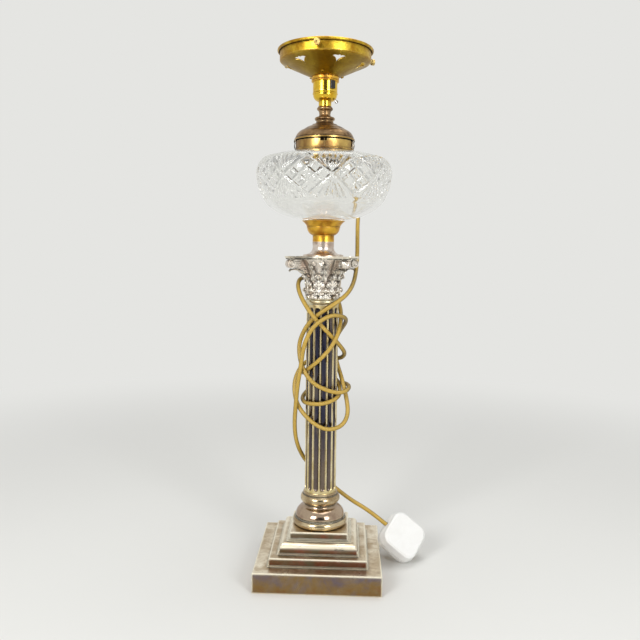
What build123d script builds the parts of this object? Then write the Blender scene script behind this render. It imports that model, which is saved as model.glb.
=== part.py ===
"""Column table lamp: a fluted, silver-plated column with a leafed capital on a stepped square base.

It carries a cut-glass font in a brass cup, an adaptor in the font's bayonet collar, a push-bar
lampholder and a pierced shade gallery with three thumbscrews. A round flex winds about the column
and ends in a three-pin plug. Millimetres, +Z up, front towards -Y. The origin is on the lamp's
axis at the underside of the base.
"""
from build123d import *
import math
import os

# ---- Stepped base -------------------------------------------------------------------------
PLINTH_SIDE = 145.0
PLINTH_HEIGHT = 23.4
STEP_SIDE = 111.4
STEP_HEIGHT = 10.0
MOULDING_SIDE = 90.6
MOULDING_HEIGHT = 14.2
BLOCK_SIDE = 67.6
BLOCK_HEIGHT = 7.9
BASE_WALL = 2.5
EDGE_BEAD = 1.0            # small fillets and fine steps along the edges of the base
BALLAST_SIDE = 128.0
BALLAST_THICKNESS = 12.0
PAD_THICKNESS = 1.5

# ---- Column --------------------------------------------------------------------------------
COLUMN_BASE_HEIGHT = 40.0
LOWER_TORUS_RADIUS = 32.2
UPPER_TORUS_RADIUS = 23.4
SHAFT_RADIUS = 18.6
SHAFT_LENGTH = 222.9
SHAFT_BORE = 14.2
FLUTE_COUNT = 14
FLUTE_RADIUS = 4.0
FLUTE_DEPTH = 2.3
FLUTE_END = 2.4            # plain band left above and below the flutes
FLUTE_TURN = -3.0          # degrees from the front to the nearest ridge
NECK_RING_HEIGHT = 7.0
NECK_RING_RADIUS = 20.4

# ---- Capital -------------------------------------------------------------------------------
CAPITAL_HEIGHT = 45.0
CAPITAL_TURN = -11.0       # degrees that the capital stands off the square of the base
BELL_FOOT_RADIUS = 17.6
BELL_LIP_RADIUS = 28.0
LEAVES_PER_TIER = 8
LEAF_THICKNESS = 1.3
ABACUS_REACH = 48.0        # axis to the cut corner of the abacus
ABACUS_WAIST = 31.0        # axis to the middle of a hollow side
ABACUS_CORNER = 9.0        # width of a cut corner
ABACUS_THICKNESS = 3.6
SCROLL_RADIUS = 4.9
SCROLL_WIDTH = 7.0

# ---- Socket, font cup and glass font -------------------------------------------------------
SOCKET_DISC_RADIUS = 23.4
SOCKET_NECK_RADIUS = 12.5
SOCKET_HEIGHT = 16.6
CUP_HEIGHT = 24.0
CUP_LIP_RADIUS = 25.1
CUP_WALL = 1.4
FONT_RADIUS = 77.5
FONT_BODY_HEIGHT = 77.7
FONT_WALL = 5.0
FONT_STUB = 7.6            # how far the glass reaches down into the cup
FONT_NECK_HEIGHT = 7.0
FONT_NECK_WALL = 4.4

# ---- Bayonet collar and adaptor ------------------------------------------------------------
COLLAR_RADIUS = 32.7
COLLAR_HEIGHT = 10.8
COLLAR_WALL = 1.0
NOTCH_DEPTH = 2.6          # notches in the collar's rim that hold the adaptor's lugs
LUG_WIDTH = 6.0
CEMENT_GAP = 1.3           # between the font's neck and the collar cemented round it
FONT_NECK_RADIUS = COLLAR_RADIUS - COLLAR_WALL - CEMENT_GAP
FONT_MOUTH_RADIUS = FONT_NECK_RADIUS - FONT_NECK_WALL
DOME_OVERHANG = 1.7        # the dome's lip stands this far outside the collar
DOME_LIP_RADIUS = COLLAR_RADIUS + DOME_OVERHANG
DOME_HEIGHT = 21.4
DOME_WALL = 1.2
STEM_HEIGHT = 17.0
STEM_BEAD_RADIUS = 11.5
NIPPLE_RADIUS = 5.0
NIPPLE_BORE = 3.6
EXIT_AZIMUTH = 61.0        # degrees from +X: the flex leaves the dome at its back right

# ---- Lampholder ----------------------------------------------------------------------------
HOLDER_RADIUS = 13.85
HOLDER_WALL = 0.9
HOLDER_CAP_HEIGHT = 16.0
BARREL_LENGTH = 33.0
LINER_BORE = 11.25         # takes a 22 mm bayonet cap
LINER_LENGTH = 15.0
BAR_WIDTH = 6.4
BAR_HEIGHT = 8.4
BAR_PROUD = 2.2
BAR_TRAVEL = 4.0
BAR_AZIMUTH = -54.0
PLUNGER_RADIUS = 2.1
PLUNGER_SPACING = 8.0
PLUNGER_PROUD = 4.0
PLUNGER_TRAVEL = 2.5
RING_RADIUS = 15.6
RING_HEIGHT = 6.0

# ---- Shade gallery -------------------------------------------------------------------------
GALLERY_RADIUS = 51.4
GALLERY_CONE_HEIGHT = 16.2
GALLERY_BAND_HEIGHT = 13.0
GALLERY_SHEET = 1.0
GALLERY_LIP_ROLL = 1.4
PIERCING_COUNT = 6
PIERCING_TURN = -68.0
THUMBSCREW_COUNT = 3
THUMBSCREW_TURN = -97.0
THUMBSCREW_RADIUS = 1.8
THUMBSCREW_HEAD_RADIUS = 3.4
THUMBSCREW_TRAVEL = 4.0

# ---- Tie rod -------------------------------------------------------------------------------
ROD_RADIUS = 4.75
NUT_ACROSS_FLATS = 17.0
NUT_THICKNESS = 5.0
WASHER_RADIUS = 16.0
WASHER_THICKNESS = 1.6

# ---- Flex and plug -------------------------------------------------------------------------
FLEX_DIAMETER = 5.0
BUSH_RADIUS = 3.8
# The flex, point by point: out of the dome, down behind a corner of the abacus, about the shaft and
# out to the plug.
FLEX_ROUTE = [
    (16, 29, 510), (24, 43, 510), (31, 57, 504), (38, 69, 489), (42, 76, 466), (42, 75, 441),
    (40, 69, 417), (40, 58, 396), (40, 44, 376), (39, 28, 358), (36, 9, 343), (29, -11, 331),
    (14, -22, 320), (1, -23, 312), (-15, -18, 299), (-26, -10, 277), (-26, -13, 260), (-21, -19, 244),
    (-10, -23, 229), (9, -23, 220), (23, -17, 217), (31, -9, 219), (33, 2, 222), (28, 13, 223),
    (17, 19, 223), (3, 23, 221), (-12, 20, 217), (-20, 10, 211), (-23, -2, 207), (-19, -13, 204),
    (-10, -20, 204), (2, -23, 205), (14, -18, 208), (21, -10, 212), (22, 2, 218), (19, 12, 226),
    (11, 20, 231), (-3, 23, 233), (-15, 17, 234), (-22, 7, 236), (-22, -5, 238), (-16, -16, 244),
    (-4, -24, 254), (10, -27, 269), (19, -21, 285), (22, -7, 299), (21, 13, 315), (13, 27, 331),
    (1, 29, 340), (-11, 27, 347), (-22, 18, 349), (-28, 7, 347), (-29, -4, 339), (-24, -16, 327),
    (-14, -25, 312), (-3, -27, 299), (9, -21, 286), (21, -11, 271), (23, 4, 261), (16, 16, 257),
    (5, 22, 254), (-9, 21, 252), (-20, 14, 248), (-28, 7, 239), (-33, -1, 223), (-29, -9, 201),
    (-13, -19, 184), (5, -24, 175), (19, -21, 176), (28, -17, 182), (32, -12, 193), (30, -6, 208),
    (24, 5, 230), (20, 18, 251), (20, 23, 275), (24, 17, 288), (27, 5, 296), (28, -7, 303),
    (21, -18, 307), (11, -26, 308), (0, -32, 303), (-11, -32, 293), (-20, -28, 273), (-23, -24, 249),
    (-27, -21, 226), (-29, -17, 203), (-31, -10, 180), (-30, -2, 157), (-24, 9, 136), (-13, 19, 118),
    (3, 25, 101), (22, 27, 85), (38, 27, 73), (62, 25, 60), (83, 24, 43),
]
PLUG_SIDE = 50.0
PLUG_FACE_SIDE = 46.0
PLUG_BASE_DEPTH = 8.5
PLUG_COVER_DEPTH = 10.5
PLUG_SCREW_RADIUS = 3.2
PLUG_RECESS = 1.8          # depth of the screw's recess in the plug's underside
EARTH_PIN_LENGTH = 22.7
LINE_PIN_LENGTH = 17.7
PIN_ROW_GAP = 22.2
LINE_PIN_GAP = 22.2
PLUG_FACE_CENTRE = (104.8, 14.8, 35.6)
PLUG_LENGTHWISE = (0.7839, -0.0618, -0.6179)
PLUG_OUTWARD = (0.3826, -0.7356, 0.5590)

# ---- Clearances ----------------------------------------------------------------------------
RUNNING_GAP = 0.06         # a sliding piece in its guide
SEAT_GAP = 0.3             # curved pieces that sit in or on each other
FLEX_GAP = 0.2             # the flex in its bush
ENTRY_GAP = 0.6            # the flex in the plug's entry

# ---- Levels, worked out from the heights above ---------------------------------------------
STEP_Z = PLINTH_HEIGHT
MOULDING_Z = STEP_Z + STEP_HEIGHT
BLOCK_Z = MOULDING_Z + MOULDING_HEIGHT
COLUMN_Z = BLOCK_Z + BLOCK_HEIGHT
SHAFT_Z = COLUMN_Z + COLUMN_BASE_HEIGHT
NECK_Z = SHAFT_Z + SHAFT_LENGTH
CAPITAL_Z = NECK_Z + NECK_RING_HEIGHT
ABACUS_Z = CAPITAL_Z + CAPITAL_HEIGHT
SOCKET_Z = ABACUS_Z + ABACUS_THICKNESS
CUP_Z = SOCKET_Z + SOCKET_HEIGHT
FONT_Z = CUP_Z + CUP_HEIGHT
FONT_TOP_Z = FONT_Z + FONT_BODY_HEIGHT
COLLAR_Z = FONT_TOP_Z
DOME_Z = COLLAR_Z + COLLAR_HEIGHT + 1.4
STEM_Z = DOME_Z + DOME_HEIGHT
HOLDER_Z = STEM_Z + STEM_HEIGHT
BARREL_Z = HOLDER_Z + HOLDER_CAP_HEIGHT
RING_Z = BARREL_Z + 10.4
GALLERY_Z = RING_Z + RING_HEIGHT
BAR_Z = BARREL_Z + 1.4
INSERT_TOP_Z = BARREL_Z + BARREL_LENGTH - LINER_LENGTH
ROD_FOOT_Z = PAD_THICKNESS + 1.0


# ---- Helpers -------------------------------------------------------------------------------
def section(start, *steps):
    """Closed face in the XZ plane. A step of one point is straight, one of two points is an arc."""
    edges = []
    here = start
    for step in steps:
        if len(step) == 1:
            edges.append(Line(here, step[0]))
        else:
            edges.append(ThreePointArc(here, step[0], step[1]))
        here = step[-1]
    edges.append(Line(here, start))
    return Plane.XZ * make_face(edges)


def turned(start, *steps):
    """Solid of revolution about the lamp's axis, from a half section given as (radius, height)."""
    return revolve(section(start, *steps), axis=Axis.Z)


def tube(radius, bore, bottom, height):
    """Plain tube that stands on the level called bottom."""
    return Pos(0, 0, bottom) * (
        Cylinder(radius, height, align=(Align.CENTER, Align.CENTER, Align.MIN))
        - Cylinder(bore, height, align=(Align.CENTER, Align.CENTER, Align.MIN))
    )


def rod(radius, bottom, height):
    """Plain cylinder that stands on the level called bottom."""
    return Pos(0, 0, bottom) * Cylinder(radius, height, align=(Align.CENTER, Align.CENTER, Align.MIN))


def square_slab(side, bottom, height):
    """Square slab about the lamp's axis."""
    return Pos(0, 0, bottom) * Box(side, side, height, align=(Align.CENTER, Align.CENTER, Align.MIN))


def square_moulding(half_section):
    """Solid that is square at every level, mitred where its four like sides meet."""
    right = extrude(half_section, amount=PLINTH_SIDE, both=True)
    run = right + mirror(right, about=Plane.YZ)
    return run & (Rot(0, 0, 90) * run)


def around(shape, count, turn=0.0):
    """The shape repeated about the lamp's axis."""
    return [Rot(0, 0, turn + index * 360.0 / count) * shape for index in range(count)]


def save(name, shape):
    """Write one node; a list becomes a group of separate solids."""
    if isinstance(shape, list):
        shape = Compound(children=[solid for item in shape for solid in item.solids()])
    shape.label = name
    export_step(shape, "parts/" + name + ".step")


# ---- Stepped base --------------------------------------------------------------------------
def base_casting():
    """Plinth, step, ovolo moulding and top block in one hollow casting, open underneath."""
    plinth = PLINTH_SIDE / 2
    step = STEP_SIDE / 2
    moulding = MOULDING_SIDE / 2
    block = BLOCK_SIDE / 2
    bead = EDGE_BEAD
    outside = square_moulding(section(
        (0, 0),
        ((plinth, 0),),
        ((plinth, STEP_Z - bead),),
        ((plinth - bead, STEP_Z),),
        ((step + bead, STEP_Z),),
        ((step + bead, STEP_Z + bead),),
        ((step, STEP_Z + bead),),
        ((step, MOULDING_Z - bead),),
        ((step - bead, MOULDING_Z),),
        ((moulding + bead, MOULDING_Z),),
        ((moulding + bead, MOULDING_Z + bead),),
        ((moulding, MOULDING_Z + bead),),
        ((moulding, MOULDING_Z + 0.3 * MOULDING_HEIGHT),),
        ((moulding - 2.0, MOULDING_Z + 0.66 * MOULDING_HEIGHT),
         (block + 3 * bead, MOULDING_Z + 0.86 * MOULDING_HEIGHT)),
        ((block + 3 * bead, BLOCK_Z - bead),),
        ((block + bead, BLOCK_Z - bead),),
        ((block + bead, BLOCK_Z),),
        ((block, BLOCK_Z),),
        ((block, COLUMN_Z - bead),),
        ((block - bead, COLUMN_Z),),
        ((0, COLUMN_Z),),
    ))
    wall = BASE_WALL
    inside = square_moulding(section(
        (0, -wall),
        ((plinth - wall, -wall),),
        ((plinth - wall, STEP_Z - wall),),
        ((step - wall, STEP_Z - wall),),
        ((step - wall, MOULDING_Z - wall),),
        ((block - wall, MOULDING_Z + wall),),
        ((block - wall, COLUMN_Z - wall),),
        ((0, COLUMN_Z - wall),),
    ))
    return outside - inside - rod(ROD_RADIUS + SEAT_GAP, 0, COLUMN_Z + 1)


def ballast():
    """Cast-iron plate that loads the base, clamped under the plinth's top by the tie rod's nut."""
    top = STEP_Z - BASE_WALL
    slab = square_slab(BALLAST_SIDE, top - BALLAST_THICKNESS, BALLAST_THICKNESS)
    slab = chamfer(slab.edges().filter_by(Axis.Z), 6.0)
    return slab - rod(ROD_RADIUS + SEAT_GAP, 0, top + 1)


def base_pad():
    """Baize-faced card that closes the underside, flush with the rim."""
    side = PLINTH_SIDE - 2 * BASE_WALL - 2 * SEAT_GAP
    return square_slab(side, 0, PAD_THICKNESS)


# ---- Tie rod -------------------------------------------------------------------------------
def washer_level():
    """Underside of the washer, below the ballast."""
    return STEP_Z - BASE_WALL - BALLAST_THICKNESS - WASHER_THICKNESS


def rod_washer():
    return tube(WASHER_RADIUS, ROD_RADIUS + SEAT_GAP, washer_level(), WASHER_THICKNESS)


def rod_nut():
    hexagon = RegularPolygon(NUT_ACROSS_FLATS / 2, 6, major_radius=False)
    nut = extrude(Pos(0, 0, washer_level() - NUT_THICKNESS) * hexagon, amount=NUT_THICKNESS)
    return nut - rod(ROD_RADIUS + RUNNING_GAP, 0, STEP_Z)


def tie_rod():
    """Steel rod from the nut in the base to the socket on the capital."""
    top = SOCKET_Z + 0.8 * SOCKET_HEIGHT
    return chamfer(rod(ROD_RADIUS, ROD_FOOT_Z, top - ROD_FOOT_Z).edges().filter_by(GeomType.CIRCLE), 0.6)


# ---- Column --------------------------------------------------------------------------------
def column_base():
    """Turned foot: large torus, fillet, bell, small torus and cincture."""
    bell_foot = LOWER_TORUS_RADIUS - 3.0
    z = COLUMN_Z
    top = SHAFT_Z
    return turned(
        (SHAFT_BORE, z),
        ((bell_foot, z),),
        ((LOWER_TORUS_RADIUS, z + 4.4), (bell_foot + 0.6, z + 8.9)),
        ((bell_foot + 0.6, z + 10.1),),
        ((bell_foot, z + 10.1),),
        ((bell_foot - 1.7, z + 16.4), (SHAFT_RADIUS + 2.9, z + 21.6)),
        ((SHAFT_RADIUS + 0.9, z + 23.4), (SHAFT_RADIUS + 0.4, z + 25.7)),
        ((UPPER_TORUS_RADIUS, top - 8.7), (SHAFT_RADIUS + 1.7, top - 3.1)),
        ((SHAFT_RADIUS + 1.7, top - 1.0),),
        ((SHAFT_RADIUS + 0.8, top),),
        ((SHAFT_BORE, top),),
    )


def flute():
    """Round-ended cutter for one flute, on the +X side."""
    length = SHAFT_LENGTH - 2 * FLUTE_END - 2 * FLUTE_RADIUS
    centre = SHAFT_RADIUS - FLUTE_DEPTH + FLUTE_RADIUS
    bottom = SHAFT_Z + FLUTE_END + FLUTE_RADIUS
    cutter = Pos(centre, 0, 0) * rod(FLUTE_RADIUS, bottom, length)
    ends = [Pos(centre, 0, bottom + end) * Sphere(FLUTE_RADIUS) for end in (0, length)]
    return cutter + ends


def column_shaft():
    """Fluted tube."""
    ridge = -90.0 + FLUTE_TURN + 180.0 / FLUTE_COUNT
    return tube(SHAFT_RADIUS, SHAFT_BORE, SHAFT_Z, SHAFT_LENGTH) - around(flute(), FLUTE_COUNT, ridge)


def neck_ring():
    """Astragal between the shaft and the capital."""
    z = NECK_Z
    top = CAPITAL_Z
    shoulder = SHAFT_RADIUS + 0.3
    return turned(
        (SHAFT_BORE, z),
        ((shoulder, z),),
        ((shoulder, z + 0.9),),
        ((NECK_RING_RADIUS, z + NECK_RING_HEIGHT / 2), (shoulder, top - 0.9)),
        ((shoulder, top),),
        ((SHAFT_BORE, top),),
    )


# ---- Capital -------------------------------------------------------------------------------
def bell_radius(share):
    """Radius of the capital's bell at a share of its height."""
    flare = max(0.0, share - 0.25) / 0.75
    return BELL_FOOT_RADIUS + (BELL_LIP_RADIUS - BELL_FOOT_RADIUS) * flare ** 2


def leaf_blade(foot_share, tip_share, reach):
    """Thickness of a leaf in the radial plane: it hugs the bell and curls out at its tip."""
    foot = CAPITAL_Z + foot_share * CAPITAL_HEIGHT
    tip = CAPITAL_Z + tip_share * CAPITAL_HEIGHT
    skin = bell_radius(foot_share) + LEAF_THICKNESS
    neck = bell_radius(tip_share) + 0.2
    return section(
        (BELL_FOOT_RADIUS - 2.0, foot),
        ((skin, foot),),
        ((skin + 0.2, tip - 0.6 * (tip - foot)), (neck, tip - 1.3 * reach)),
        ((neck + 0.35 * reach, tip - 0.9 * reach), (neck + 0.75 * reach, tip - 1.1 * reach)),
        ((neck + reach, tip - 0.8 * reach),),
        ((neck + 0.75 * reach, tip - 0.1 * reach), (neck - 1.0, tip)),
        ((BELL_FOOT_RADIUS - 2.0, tip),),
    )


def lobe(start, end, bulge):
    """Arc from start to end that swells to the right of its chord by bulge."""
    run = (end[0] - start[0], end[1] - start[1])
    length = math.hypot(run[0], run[1])
    middle = ((start[0] + end[0]) / 2, (start[1] + end[1]) / 2)
    crest = (middle[0] + bulge * run[1] / length, middle[1] - bulge * run[0] / length)
    return ThreePointArc(start, crest, end)


def leaf_outline(width, foot, tip):
    """Front outline of a leaf, with two side lobes each way and a broad tip."""
    half = width / 2
    rise = tip - foot
    right = [(0.7 * half, foot - 1), (0.7 * half, foot + 0.04 * rise), (0.7 * half, foot + 0.36 * rise),
             (0.62 * half, foot + 0.68 * rise), (0, foot + 1.06 * rise)]
    left = [(-point[0], point[1]) for point in right]
    swell = 0.28 * half
    edges = [Line(right[0], right[1]), Line(left[0], left[1]), Line(left[0], right[0])]
    for low, high in ((1, 2), (2, 3), (3, 4)):
        edges.append(lobe(right[low], right[high], swell))
        edges.append(lobe(left[low], left[high], -swell))
    return Plane.YZ * make_face(edges)


def acanthus_leaf(foot_share, tip_share, reach, width):
    """One leaf on the +X side: the blade cut to its outline, with a raised midrib."""
    foot = CAPITAL_Z + foot_share * CAPITAL_HEIGHT
    tip = CAPITAL_Z + tip_share * CAPITAL_HEIGHT
    blade = extrude(leaf_blade(foot_share, tip_share, reach), amount=width, both=True)
    outline = extrude(leaf_outline(width, foot, tip), amount=ABACUS_REACH, dir=(1, 0, 0))
    rib = extrude(leaf_blade(foot_share, tip_share, reach), amount=0.5, both=True)
    rib = Pos(0.5, 0, 0) * rib
    return (blade & outline) + rib


def corner_horn():
    """Stalk that leaves the bell and carries the scroll under a corner of the abacus, on the +X side."""
    top = ABACUS_Z
    scroll_x = ABACUS_REACH - SCROLL_RADIUS
    scroll_z = top - SCROLL_RADIUS
    start = CAPITAL_Z + 0.55 * CAPITAL_HEIGHT
    web = section(
        (bell_radius(0.55) - 1.0, start),
        ((scroll_x - 13.0, scroll_z - 7.0), (scroll_x - 2.0, scroll_z - SCROLL_RADIUS + 0.4)),
        ((scroll_x, top),),
        ((BELL_FOOT_RADIUS, top),),
    )
    horn = extrude(web, amount=SCROLL_WIDTH / 2 - 1.4, both=True)
    disc = Pos(scroll_x, 0, scroll_z) * Rot(90, 0, 0) * Cylinder(SCROLL_RADIUS, SCROLL_WIDTH)
    eye = Pos(scroll_x, 0, scroll_z) * Rot(90, 0, 0) * Cylinder(1.5, SCROLL_WIDTH + 1.4)
    groove = Pos(scroll_x, 0, scroll_z) * Rot(90, 0, 0) * (
        Cylinder(SCROLL_RADIUS - 1.1, SCROLL_WIDTH) - Cylinder(SCROLL_RADIUS - 2.4, SCROLL_WIDTH)
    )
    core = Cylinder(SCROLL_RADIUS, SCROLL_WIDTH - 1.6)
    groove = groove - Pos(scroll_x, 0, scroll_z) * Rot(90, 0, 0) * core
    return horn + disc + eye - groove


def inner_scrolls():
    """Pair of small scrolls under the middle of one side, on the +X side."""
    x = bell_radius(0.86) - 0.4
    z = ABACUS_Z - 4.4
    return [Pos(x, side * 4.4, z) * Rot(0, 90, 0) * Cylinder(2.7, 5.0) for side in (1, -1)]


def fleuron():
    """Small flower at the middle of one side of the abacus, on the +X side."""
    x = ABACUS_WAIST + 0.2
    z = ABACUS_Z + 0.3
    heart = Pos(x, 0, z) * Rot(0, 90, 0) * Cylinder(1.7, 4.6)
    petals = []
    for index in range(5):
        angle = math.radians(90 + index * 72)
        petals.append(Pos(x, 2.6 * math.cos(angle), z + 2.6 * math.sin(angle))
                      * Rot(0, 90, 0) * Cylinder(1.7, 3.2))
    return heart + petals


def capital():
    """Bell with two tiers of leaves, four corner scrolls and four pairs of inner scrolls."""
    shares = (0.0, 0.25, 0.5, 0.75, 1.0)
    edge = [(bell_radius(share), CAPITAL_Z + share * CAPITAL_HEIGHT) for share in shares]
    body = turned(
        (SHAFT_BORE, CAPITAL_Z),
        (edge[0],),
        (edge[1],),
        (edge[2], edge[3]),
        (edge[4],),
        ((SHAFT_BORE, ABACUS_Z),),
    )
    pitch = 360.0 / LEAVES_PER_TIER
    diagonal = 45.0
    lower = acanthus_leaf(0.0, 0.27, 3.6, 13.0)
    upper = acanthus_leaf(0.10, 0.62, 3.4, 14.0)
    pieces = around(upper, LEAVES_PER_TIER, 0.0)
    pieces += around(lower, LEAVES_PER_TIER, pitch / 2)
    pieces += around(corner_horn(), 4, diagonal)
    for pair in around(Compound(children=inner_scrolls()), 4):
        pieces += pair.solids()
    body = body + pieces
    body = body - rod(SHAFT_BORE, CAPITAL_Z - 1, CAPITAL_HEIGHT + 2)
    return Rot(0, 0, CAPITAL_TURN) * body


def abacus_plan(grow):
    """Plan of the abacus: four hollow sides and four cut corners, made larger by grow."""
    reach = (ABACUS_REACH + grow) / math.sqrt(2)
    cut = ABACUS_CORNER / 2 / math.sqrt(2)
    near = (reach + cut, reach - cut)
    edges = []
    for index in range(4):
        turn = Rot(0, 0, 90 * index)
        side = ThreePointArc((near[0], -near[1]), (ABACUS_WAIST + grow, 0), near)
        corner = Line(near, (near[1], near[0]))
        edges += [turn * side, turn * corner]
    return make_face(edges)


def abacus():
    """Hollow-sided plate on the capital: a cavetto slab under a fillet, with its four flowers."""
    lower = extrude(Pos(0, 0, ABACUS_Z) * abacus_plan(-1.2), amount=0.45 * ABACUS_THICKNESS, dir=(0, 0, 1))
    upper = extrude(Pos(0, 0, ABACUS_Z + 0.45 * ABACUS_THICKNESS) * abacus_plan(0.0),
                    amount=0.55 * ABACUS_THICKNESS, dir=(0, 0, 1))
    below = square_slab(3 * ABACUS_REACH, ABACUS_Z - 20, 20)
    above = square_slab(3 * ABACUS_REACH, SOCKET_Z, 20)
    flowers = [flower - below - above for flower in around(fleuron(), 4)]
    plate = lower + upper + flowers
    return Rot(0, 0, CAPITAL_TURN) * (plate - rod(ROD_RADIUS + SEAT_GAP, ABACUS_Z - 1, 20))


# ---- Socket, font cup and font -------------------------------------------------------------
def font_socket():
    """Plated socket that the tie rod draws down on the abacus and the font cup screws into."""
    z = SOCKET_Z
    top = CUP_Z
    neck = SOCKET_NECK_RADIUS
    bore = ROD_RADIUS + RUNNING_GAP
    return turned(
        (bore, z),
        ((SOCKET_DISC_RADIUS, z),),
        ((SOCKET_DISC_RADIUS, z + 1.2),),
        ((SOCKET_DISC_RADIUS - 1.0, z + 2.0),),
        ((SOCKET_DISC_RADIUS - 3.0, z + 2.4),),
        ((neck + 2.2, z + 4.6), (neck - 0.3, z + 10.0)),
        ((neck, top),),
        ((neck - 2.6, top),),
        ((neck - 2.6, z + 0.8 * SOCKET_HEIGHT + 0.4),),
        ((bore, z + 0.8 * SOCKET_HEIGHT),),
    )


def font_cup():
    """Brass cup with a screwed spigot; the glass font is cemented in its flared lip."""
    z = CUP_Z
    neck = SOCKET_NECK_RADIUS - 0.1
    lip = FONT_Z
    wall = CUP_WALL
    spigot = SOCKET_NECK_RADIUS - 2.6 - RUNNING_GAP
    return turned(
        (spigot - 2.0, z - 2.8),
        ((spigot, z - 2.8),),
        ((spigot, z),),
        ((neck, z),),
        ((neck, z + 7.4),),
        ((neck + 3.4, z + 9.4), (CUP_LIP_RADIUS - 6.3, z + 16.0)),
        ((CUP_LIP_RADIUS - 5.7, z + 16.6), (CUP_LIP_RADIUS - 6.1, z + 17.4)),
        ((CUP_LIP_RADIUS - 4.4, z + 20.0), (CUP_LIP_RADIUS, lip)),
        ((CUP_LIP_RADIUS - wall, lip),),
        ((CUP_LIP_RADIUS - 5.8, z + 20.4), (CUP_LIP_RADIUS - 7.4, z + 17.4)),
        ((CUP_LIP_RADIUS - 7.7, z + 16.0),),
        ((neck + 2.2, z + 11.0), (neck - wall, z + 8.6)),
        ((spigot - 2.0, z + 8.6),),
    )


def font_outside():
    """Half section of the glass outside, from the stub in the cup to the top of the neck."""
    z = FONT_Z
    stub = CUP_LIP_RADIUS - 7.7 - SEAT_GAP
    radius = FONT_RADIUS
    top = FONT_TOP_Z
    return [
        ((stub, z - FONT_STUB),),
        ((stub, z - 6.0),),
        ((CUP_LIP_RADIUS - 5.9, z - 2.8), (CUP_LIP_RADIUS - 1.6, z + 1.2)),
        ((radius - 32.0, z + 5.9), (radius - 13.1, z + 16.9)),
        ((radius - 3.7, z + 33.4), (radius, z + 53.2)),
        ((radius - 2.35, z + 62.5), (radius - 8.0, z + 69.4)),
        ((radius - 27.0, z + 74.6), (FONT_NECK_RADIUS + 2.4, top - 0.6)),
        ((FONT_NECK_RADIUS, top),),
        ((FONT_NECK_RADIUS, top + FONT_NECK_HEIGHT),),
    ]


def glass_font():
    """Blown reservoir: thick wall, round-shouldered body, short neck with an open mouth."""
    z = FONT_Z
    wall = FONT_WALL
    radius = FONT_RADIUS - wall
    top = FONT_TOP_Z
    inside = [
        ((FONT_MOUTH_RADIUS, top + FONT_NECK_HEIGHT),),
        ((FONT_MOUTH_RADIUS, top - wall),),
        ((radius - 24.0, z + 69.6), (radius - 7.0, z + 64.4)),
        ((radius - 1.85, z + 59.1), (radius, z + 52.0)),
        ((radius - 3.7, z + 35.0), (radius - 12.4, z + 20.6)),
        ((radius - 32.0, z + 9.8), (CUP_LIP_RADIUS - 4.0, z + 5.2)),
        ((0, z + 4.6),),
    ]
    return turned((0, z - FONT_STUB), *font_outside(), *inside)


# ---- Bayonet collar and adaptor ------------------------------------------------------------
def bayonet_collar():
    """Brass collar cemented on the font's neck, with a rolled foot and three notches in its rim."""
    z = COLLAR_Z
    top = z + COLLAR_HEIGHT
    inner = COLLAR_RADIUS - COLLAR_WALL
    seat = FONT_NECK_RADIUS + SEAT_GAP
    collar = turned(
        (seat, z + 0.2),
        ((COLLAR_RADIUS + 0.8, z + 0.2),),
        ((COLLAR_RADIUS + 1.5, z + 1.1), (COLLAR_RADIUS + 0.8, z + 2.0)),
        ((COLLAR_RADIUS, z + 2.4),),
        ((COLLAR_RADIUS, top),),
        ((inner, top),),
        ((inner, z + FONT_NECK_HEIGHT + SEAT_GAP),),
        ((seat, z + FONT_NECK_HEIGHT + SEAT_GAP),),
    )
    notch = Pos(COLLAR_RADIUS, 0, top) * Box(4 * COLLAR_WALL, LUG_WIDTH + 1.0, 2 * NOTCH_DEPTH)
    seam = Pos(COLLAR_RADIUS, 0, z + 2.6) * Box(0.5, 0.8, COLLAR_HEIGHT - 2.8,
                                               align=(Align.CENTER, Align.CENTER, Align.MIN))
    return collar - around(notch, 3, 30.0) + Rot(0, 0, -88) * seam


def adaptor_skirt():
    """Drawn ring under the dome that drops into the collar, with three lugs for its notches."""
    z = COLLAR_Z + FONT_NECK_HEIGHT + 2 * SEAT_GAP
    top = DOME_Z + 4.4
    outer = COLLAR_RADIUS - COLLAR_WALL - SEAT_GAP
    ring = turned(
        (outer - 1.0, z),
        ((outer, z),),
        ((outer, COLLAR_Z + COLLAR_HEIGHT + SEAT_GAP),),
        ((outer, top - 1.0),),
        ((outer - 1.0, top),),
        ((FONT_MOUTH_RADIUS - 6.0, top),),
        ((FONT_MOUTH_RADIUS - 6.0, top - 1.0),),
        ((outer - 1.6, top - 1.0),),
        ((outer - 1.0, top - 1.6),),
    )
    lug = Pos(outer - 0.2, 0, COLLAR_Z + COLLAR_HEIGHT - NOTCH_DEPTH + SEAT_GAP) * Box(
        2.0, LUG_WIDTH, NOTCH_DEPTH - 2 * SEAT_GAP, align=(Align.CENTER, Align.CENTER, Align.MIN))
    passage = exit_plane() * Pos(0, 0, -8) * Cylinder(BUSH_RADIUS + SEAT_GAP, 22)
    return ring + around(lug, 3, 30.0) - passage


def exit_plane():
    """Where the flex leaves the dome: origin on the dome's outside, local Z pointing outwards."""
    turn = math.radians(EXIT_AZIMUTH)
    outward = Vector(math.cos(turn), math.sin(turn), 0)
    place = outward * (DOME_LIP_RADIUS - 1.0) + Vector(0, 0, DOME_Z + 5.5)
    return Plane(origin=place, x_dir=(0, 0, 1), z_dir=outward)


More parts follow.
